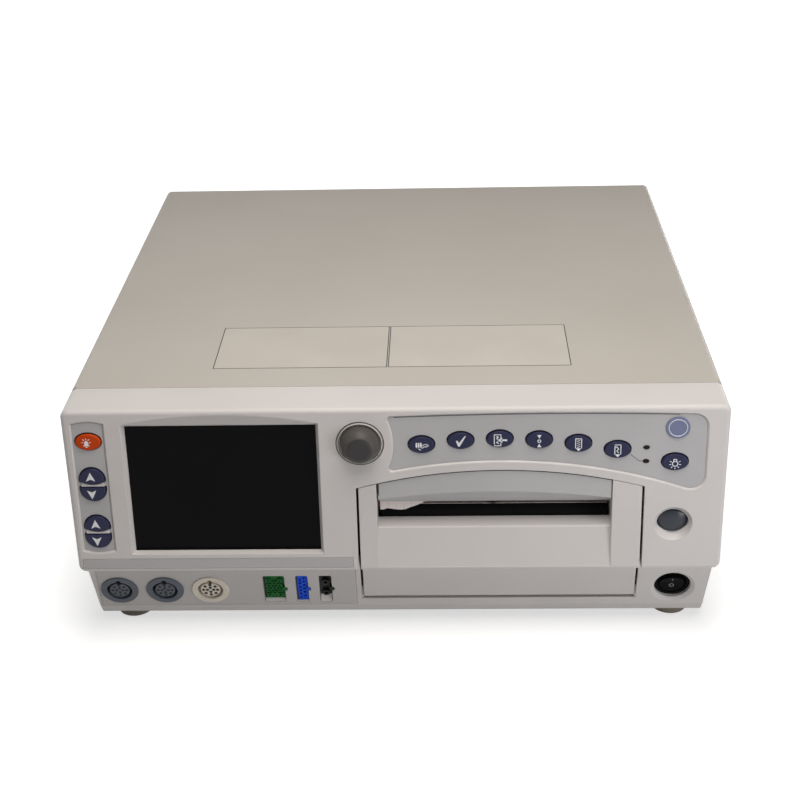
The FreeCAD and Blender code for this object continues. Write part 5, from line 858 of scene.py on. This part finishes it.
# Painted shade in the gap between the visor and the arch.
shape = bmesh.new()
stops = [SEAM_LEFT + (SEAM_RIGHT - SEAM_LEFT) * i / SEAM_STROKES for i in range(SEAM_STROKES + 1)]
line(shape, [(x, seam_height(x)) for x in stops], SEAM_WIDE)
bar(shape, (SEAM_LEFT, seam_height(SEAM_LEFT)), (SEAM_LEFT, SEAM_FOOT), SEAM_WIDE)
print_on("visor_seam_shade", "recorder_visor", shape, (0, 0), gap_shade_black)

# Two dark rings paint the shade in the collar's groove.
for name, node, radius in (("collar_outer_groove", "front_bezel", OUTER_RING),
                           ("collar_inner_groove", "knob_collar", INNER_RING)):
    shape = bmesh.new()
    ring(shape, (0, 0), radius, RING_WIDE, 72)
    print_on(name, node, shape, front_middle("knob_collar"), gap_shade_black)
print("seam of", SEAM_STROKES, "strokes and two rings")

# %% [markdown]
# ## Contacts and painted hole shade in the round sockets
# Every hole in the core of a round socket holds a spring contact, which stands on the bottom of the hole
# and ends just below its mouth. Its near-black colour paints the shade inside the hole, so it shows as a
# dark dot, and a thin dark collar laid round it paints the shade at the mouth. Each one is a closed
# cylinder and a flat ring; the twelve of a socket are one mesh, tilted as the connector plate is.

# %% Socket contacts
PLATE_TILT = math.radians(16.7)
SOCKET_ROW = Vector((0, -192.48, 32.27)) * MM
CORE_FRONT, HOLE_DEEP = -0.4, 2.0
CONTACT_CIRCLES = [(8, 4.8), (4, 2.1)]
CONTACT_RADIUS, CONTACT_SUNK, CONTACT_COLLAR = 0.93, 0.12, 0.22
SOCKETS = {"left": -192.1, "middle": -160.75, "right": -129.4}
# Near-black: paints the shade inside each contact hole and at its mouth.
socket_hole_shade = satin_film("socket_hole_shade", (20, 20, 22), (27, 27, 29), 0.6)
contact_long = HOLE_DEEP - CONTACT_SUNK
contact_middle = CORE_FRONT + CONTACT_SUNK + contact_long / 2


def on_plate(x):
    """Puts a piece drawn round the origin on the tilted plate, in the socket row, at x in mm."""
    return Matrix.Translation(SOCKET_ROW + Vector((x * MM, 0, 0))) @ Matrix.Rotation(PLATE_TILT, 4, "X")


for name, x in SOCKETS.items():
    shape = bmesh.new()
    for count, radius in CONTACT_CIRCLES:
        for i in range(count):
            turn = 2 * math.pi * i / count
            middle = Vector((radius * math.sin(turn), contact_middle, radius * math.cos(turn))) * MM
            bmesh.ops.create_cone(shape, cap_ends=True, segments=16, radius1=CONTACT_RADIUS * MM,
                                  radius2=CONTACT_RADIUS * MM, depth=contact_long * MM,
                                  matrix=Matrix.Translation(middle) @ Matrix.Rotation(math.pi / 2, 4, "X"))
            collar = ring(shape, (middle.x / MM, middle.z / MM), CONTACT_RADIUS + CONTACT_COLLAR / 2,
                          CONTACT_COLLAR, 16)
            bmesh.ops.translate(shape, vec=(0, CORE_FRONT * MM - INK_LIFT, 0), verts=collar)
    bmesh.ops.transform(shape, matrix=on_plate(x), verts=shape.verts)
    bmesh.ops.recalc_face_normals(shape, faces=shape.faces)
    contacts = mesh_piece(f"{name}_socket_contacts", shape, socket_hole_shade)
    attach(contacts, "chassis")
print("contacts in", len(SOCKETS), "round sockets")

# %% [markdown]
# ## Light sills in the socket slots
# Each upright slot in the connector plate ends at the bottom in a light slope, the inside of the plate
# that the lamp reaches, below a socket that sits deeper. Every sill starts as a cube in the slot. One
# bisect takes off the corner above the slope, and the piece is then tilted as the plate is.

# %% Slot sills
SLOT_FOOT, SILL_SUNK, SILL_LIP = -13.2, 0.1, 0.25
SLOTS = {"ecg": -85.5, "oximetry": -66.4, "pressure": -50.2}
SILLS = {"ecg": (14.0, 1.8, 2.2), "oximetry": (7.6, 0.8, 1.0), "pressure": (8.0, 2.8, 4.9)}
sill_finish = moulded("slot_sill_moulding", (212, 207, 203), (206, 200, 195), (222, 218, 214), 0.46,
                      gloss=0.3)
for name, (wide, deep, tall) in SILLS.items():
    shape = bmesh.new()
    size = Matrix.Diagonal((wide * MM, deep * MM, tall * MM, 1))
    place = Matrix.Translation((0, (deep / 2 + SILL_SUNK) * MM, (SLOT_FOOT + tall / 2) * MM))
    bmesh.ops.create_cube(shape, size=1.0, matrix=place @ size)
    foot = Vector((0, SILL_SUNK, SLOT_FOOT + SILL_LIP)) * MM
    slope = Vector((0, -tall, deep))
    cut = bmesh.ops.bisect_plane(shape, geom=whole(shape), plane_co=foot, plane_no=slope, clear_outer=True)
    rim = [e for e in cut["geom_cut"] if isinstance(e, bmesh.types.BMEdge)]
    bmesh.ops.edgeloop_fill(shape, edges=rim)
    bmesh.ops.recalc_face_normals(shape, faces=shape.faces)
    bmesh.ops.transform(shape, matrix=on_plate(SLOTS[name]), verts=shape.verts)
    sill = mesh_piece(f"{name}_slot_sill", shape, sill_finish)
    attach(sill, "chassis")
print("sills in", len(SILLS), "slots")

# %% [markdown]
# ## Guide pegs and painted wall shade in the slots
# At the right of each slot a round peg in the socket's own colour keys the plug, and the left wall of the
# slot lies in shade. The peg is a cylinder that stands on the socket and ends just below the plate.
# That shade is painted: a narrow dark strip along the socket's left edge, a flat block with its edges
# rounded off.

# %% Pegs and walls
PEG_RADIUS, PEG_BELOW, PEG_ROUND = 1.7, 0.15, 0.3
WALL_WIDE, WALL_THICK, WALL_ROUND, WALL_INSET, WALL_SHARE = 1.0, 0.1, 0.04, 0.15, 0.94
FITTINGS = {"ecg": (14.4, 2.0, "socket_green"), "oximetry": (8.0, 1.0, "socket_blue"),
            "pressure": (8.4, 3.0, "black_plastic")}
wall_shade_paint = satin_film("slot_wall_dark", (24, 25, 26), (30, 31, 32), 0.7)


def round_off(shape, edges, radius, segments):
    """Rounds edges by a radius in mm."""
    bmesh.ops.bevel(shape, geom=edges, offset=radius * MM, offset_type="OFFSET", segments=segments,
                    profile=0.5, affect="EDGES", material=-1)


for name, (wide, deep, tone) in FITTINGS.items():
    tilt = on_plate(SLOTS[name])
    shape = bmesh.new()
    middle = Vector((wide / 2, (deep + PEG_BELOW) / 2, 0)) * MM
    bmesh.ops.create_cone(shape, cap_ends=True, segments=32, radius1=PEG_RADIUS * MM, radius2=PEG_RADIUS * MM,
                          depth=(deep - PEG_BELOW) * MM,
                          matrix=tilt @ Matrix.Translation(middle) @ Matrix.Rotation(math.pi / 2, 4, "X"))
    front = min(v.co.y for v in shape.verts)
    rim = [e for e in shape.edges if len({f for v in e.verts for f in v.link_faces if len(f.verts) > 4}) == 1
           and all(v.co.y < front + deep / 2 * MM for v in e.verts)]
    round_off(shape, rim, PEG_ROUND, 2)
    peg = mesh_piece(f"{name}_guide_peg", shape, finishes[tone])
    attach(peg, "chassis")
    # A dark strip along the socket's left edge: painted shade of the slot's left wall.
    shape = bmesh.new()
    size = Matrix.Diagonal((WALL_WIDE * MM, WALL_THICK * MM, -2 * SLOT_FOOT * WALL_SHARE * MM, 1))
    left = WALL_INSET - wide / 2
    place = Matrix.Translation(Vector((left + WALL_WIDE / 2, deep - WALL_THICK / 2, 0)) * MM)
    bmesh.ops.create_cube(shape, size=1.0, matrix=tilt @ place @ size)
    round_off(shape, shape.edges[:], WALL_ROUND, 2)
    wall = mesh_piece(f"{name}_slot_wall", shape, wall_shade_paint)
    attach(wall, "chassis")
print("pegs and dark walls in", len(FITTINGS), "slots")

# %% [markdown]
# ## Ribs between the volume keys
# Between the up key and the down key of each pair a light rib stands on the panel, which keeps a finger
# from pressing both. Its upper edge follows the round foot of the up key. One face with that outline is
# extruded forward, and a small bevel rounds its front rim.

# %% Volume ribs
RIB_HALF, RIB_PROUD, RIB_ROUND = 7.6, 0.55, 0.2
RIB_FOOT, RIB_MIDDLE, RIB_END = -1.35, -0.05, 1.9
RIB_STEPS = 12
PAIRS = {1: 126.0, 2: 90.5}
rib_finish = moulded("volume_rib_moulding", (222, 217, 213), (215, 209, 204), (232, 228, 224), 0.44,
                     gloss=0.3)
panel_x, panel_y = front_middle("volume_key_panel")[0] * MM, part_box("volume_key_panel")[0].y
for channel, height in PAIRS.items():
    shape = bmesh.new()
    steps = [RIB_HALF * (1 - 2 * i / RIB_STEPS) for i in range(RIB_STEPS + 1)]
    arc = [(x, RIB_MIDDLE + (RIB_END - RIB_MIDDLE) * (x / RIB_HALF) ** 2) for x in steps]
    outline = [(-RIB_HALF, RIB_FOOT), (RIB_HALF, RIB_FOOT)] + arc
    face = shape.faces.new([shape.verts.new((x * MM, 0, z * MM)) for x, z in outline])
    raised = thicken(shape, [face], -RIB_PROUD * MM)
    bmesh.ops.recalc_face_normals(shape, faces=shape.faces)
    rim = [e for e in shape.edges if all(v in raised for v in e.verts)]
    round_off(shape, rim, RIB_ROUND, 3)
    bmesh.ops.translate(shape, vec=(panel_x, panel_y, height * MM), verts=shape.verts)
    rib = mesh_piece(f"volume_{channel}_rib", shape, rib_finish)
    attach(rib, "chassis")
print("ribs between", len(PAIRS), "pairs of volume keys")

# %% [markdown]
# ## The torn chart paper under the visor
# A strip of the last chart hangs behind the visor's lip, torn off unevenly: a broad scrap at the left,
# then a few ragged teeth. A fine grid is made and its lower edge is moved to the torn line; the upper
# edge stays hidden behind the visor. The lower left corner curls forward a little, and solidify gives
# the strip its thickness at the end.

# %% Torn paper
PAPER_LEFT, PAPER_RIGHT, PAPER_TOP = -10.6, 139.0, 111.5
PAPER_Y, PAPER_THICK = -203.2, 0.10
RAG_COARSE, RAG_FINE = 0.16, 0.08
RAG_WAVE, RAG_SWELL, RAG_START, RAG_RIPPLE = 5.3, 1.7, 0.6, 13.1
CURL, CURL_REACH = 0.35, 30.0
TEAR = [(-10.6, 101.2), (-8.5, 101.0), (-6.0, 101.9), (-2.0, 101.4), (3.0, 100.7), (6.0, 100.9),
        (9.0, 102.4), (13.0, 103.9), (17.0, 105.6), (20.0, 107.4), (56.0, 107.6), (60.5, 106.2),
        (64.0, 104.9), (66.5, 106.4), (70.0, 107.4), (78.0, 107.0), (82.0, 105.6), (86.0, 107.2),
        (100.0, 107.6), (139.0, 107.6)]


def tear_height(x):
    """Height of the torn edge at x, both in mm: straight runs between the noted points, and small rags."""
    for (x0, z0), (x1, z1) in zip(TEAR, TEAR[1:]):
        if x <= x1:
            break
    run = z0 + (z1 - z0) * (x - x0) / (x1 - x0)
    coarse = math.sin(RAG_WAVE * x) * math.sin(RAG_SWELL * x + RAG_START)
    return run + RAG_COARSE * coarse + RAG_FINE * math.sin(RAG_RIPPLE * x)


shape = bmesh.new()
half = Matrix.Diagonal(((PAPER_RIGHT - PAPER_LEFT) / 2 * MM, 0.5, 1, 1))
bmesh.ops.create_grid(shape, x_segments=300, y_segments=2, size=1.0, matrix=half)
for v in shape.verts:
    x = v.co.x / MM + (PAPER_LEFT + PAPER_RIGHT) / 2
    torn = tear_height(x)
    up = v.co.y + 0.5
    curl = CURL * (1 - up) ** 2 * max(0.0, 1 - (x - PAPER_LEFT) / CURL_REACH)
    v.co = Vector((x, PAPER_Y - curl, torn + (PAPER_TOP - torn) * up)) * MM
bmesh.ops.solidify(shape, geom=shape.faces[:], thickness=PAPER_THICK * MM)
bmesh.ops.recalc_face_normals(shape, faces=shape.faces)
ruled_paper = thermal_paper("ruled_chart_paper", (238, 230, 226), (230, 220, 215), (226, 200, 195))
scrap = mesh_piece("torn_chart_edge", shape, ruled_paper)
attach(scrap, "chassis")
heights = [z for x, z in TEAR]
print("torn edge from", min(heights), "to", max(heights), "mm high")
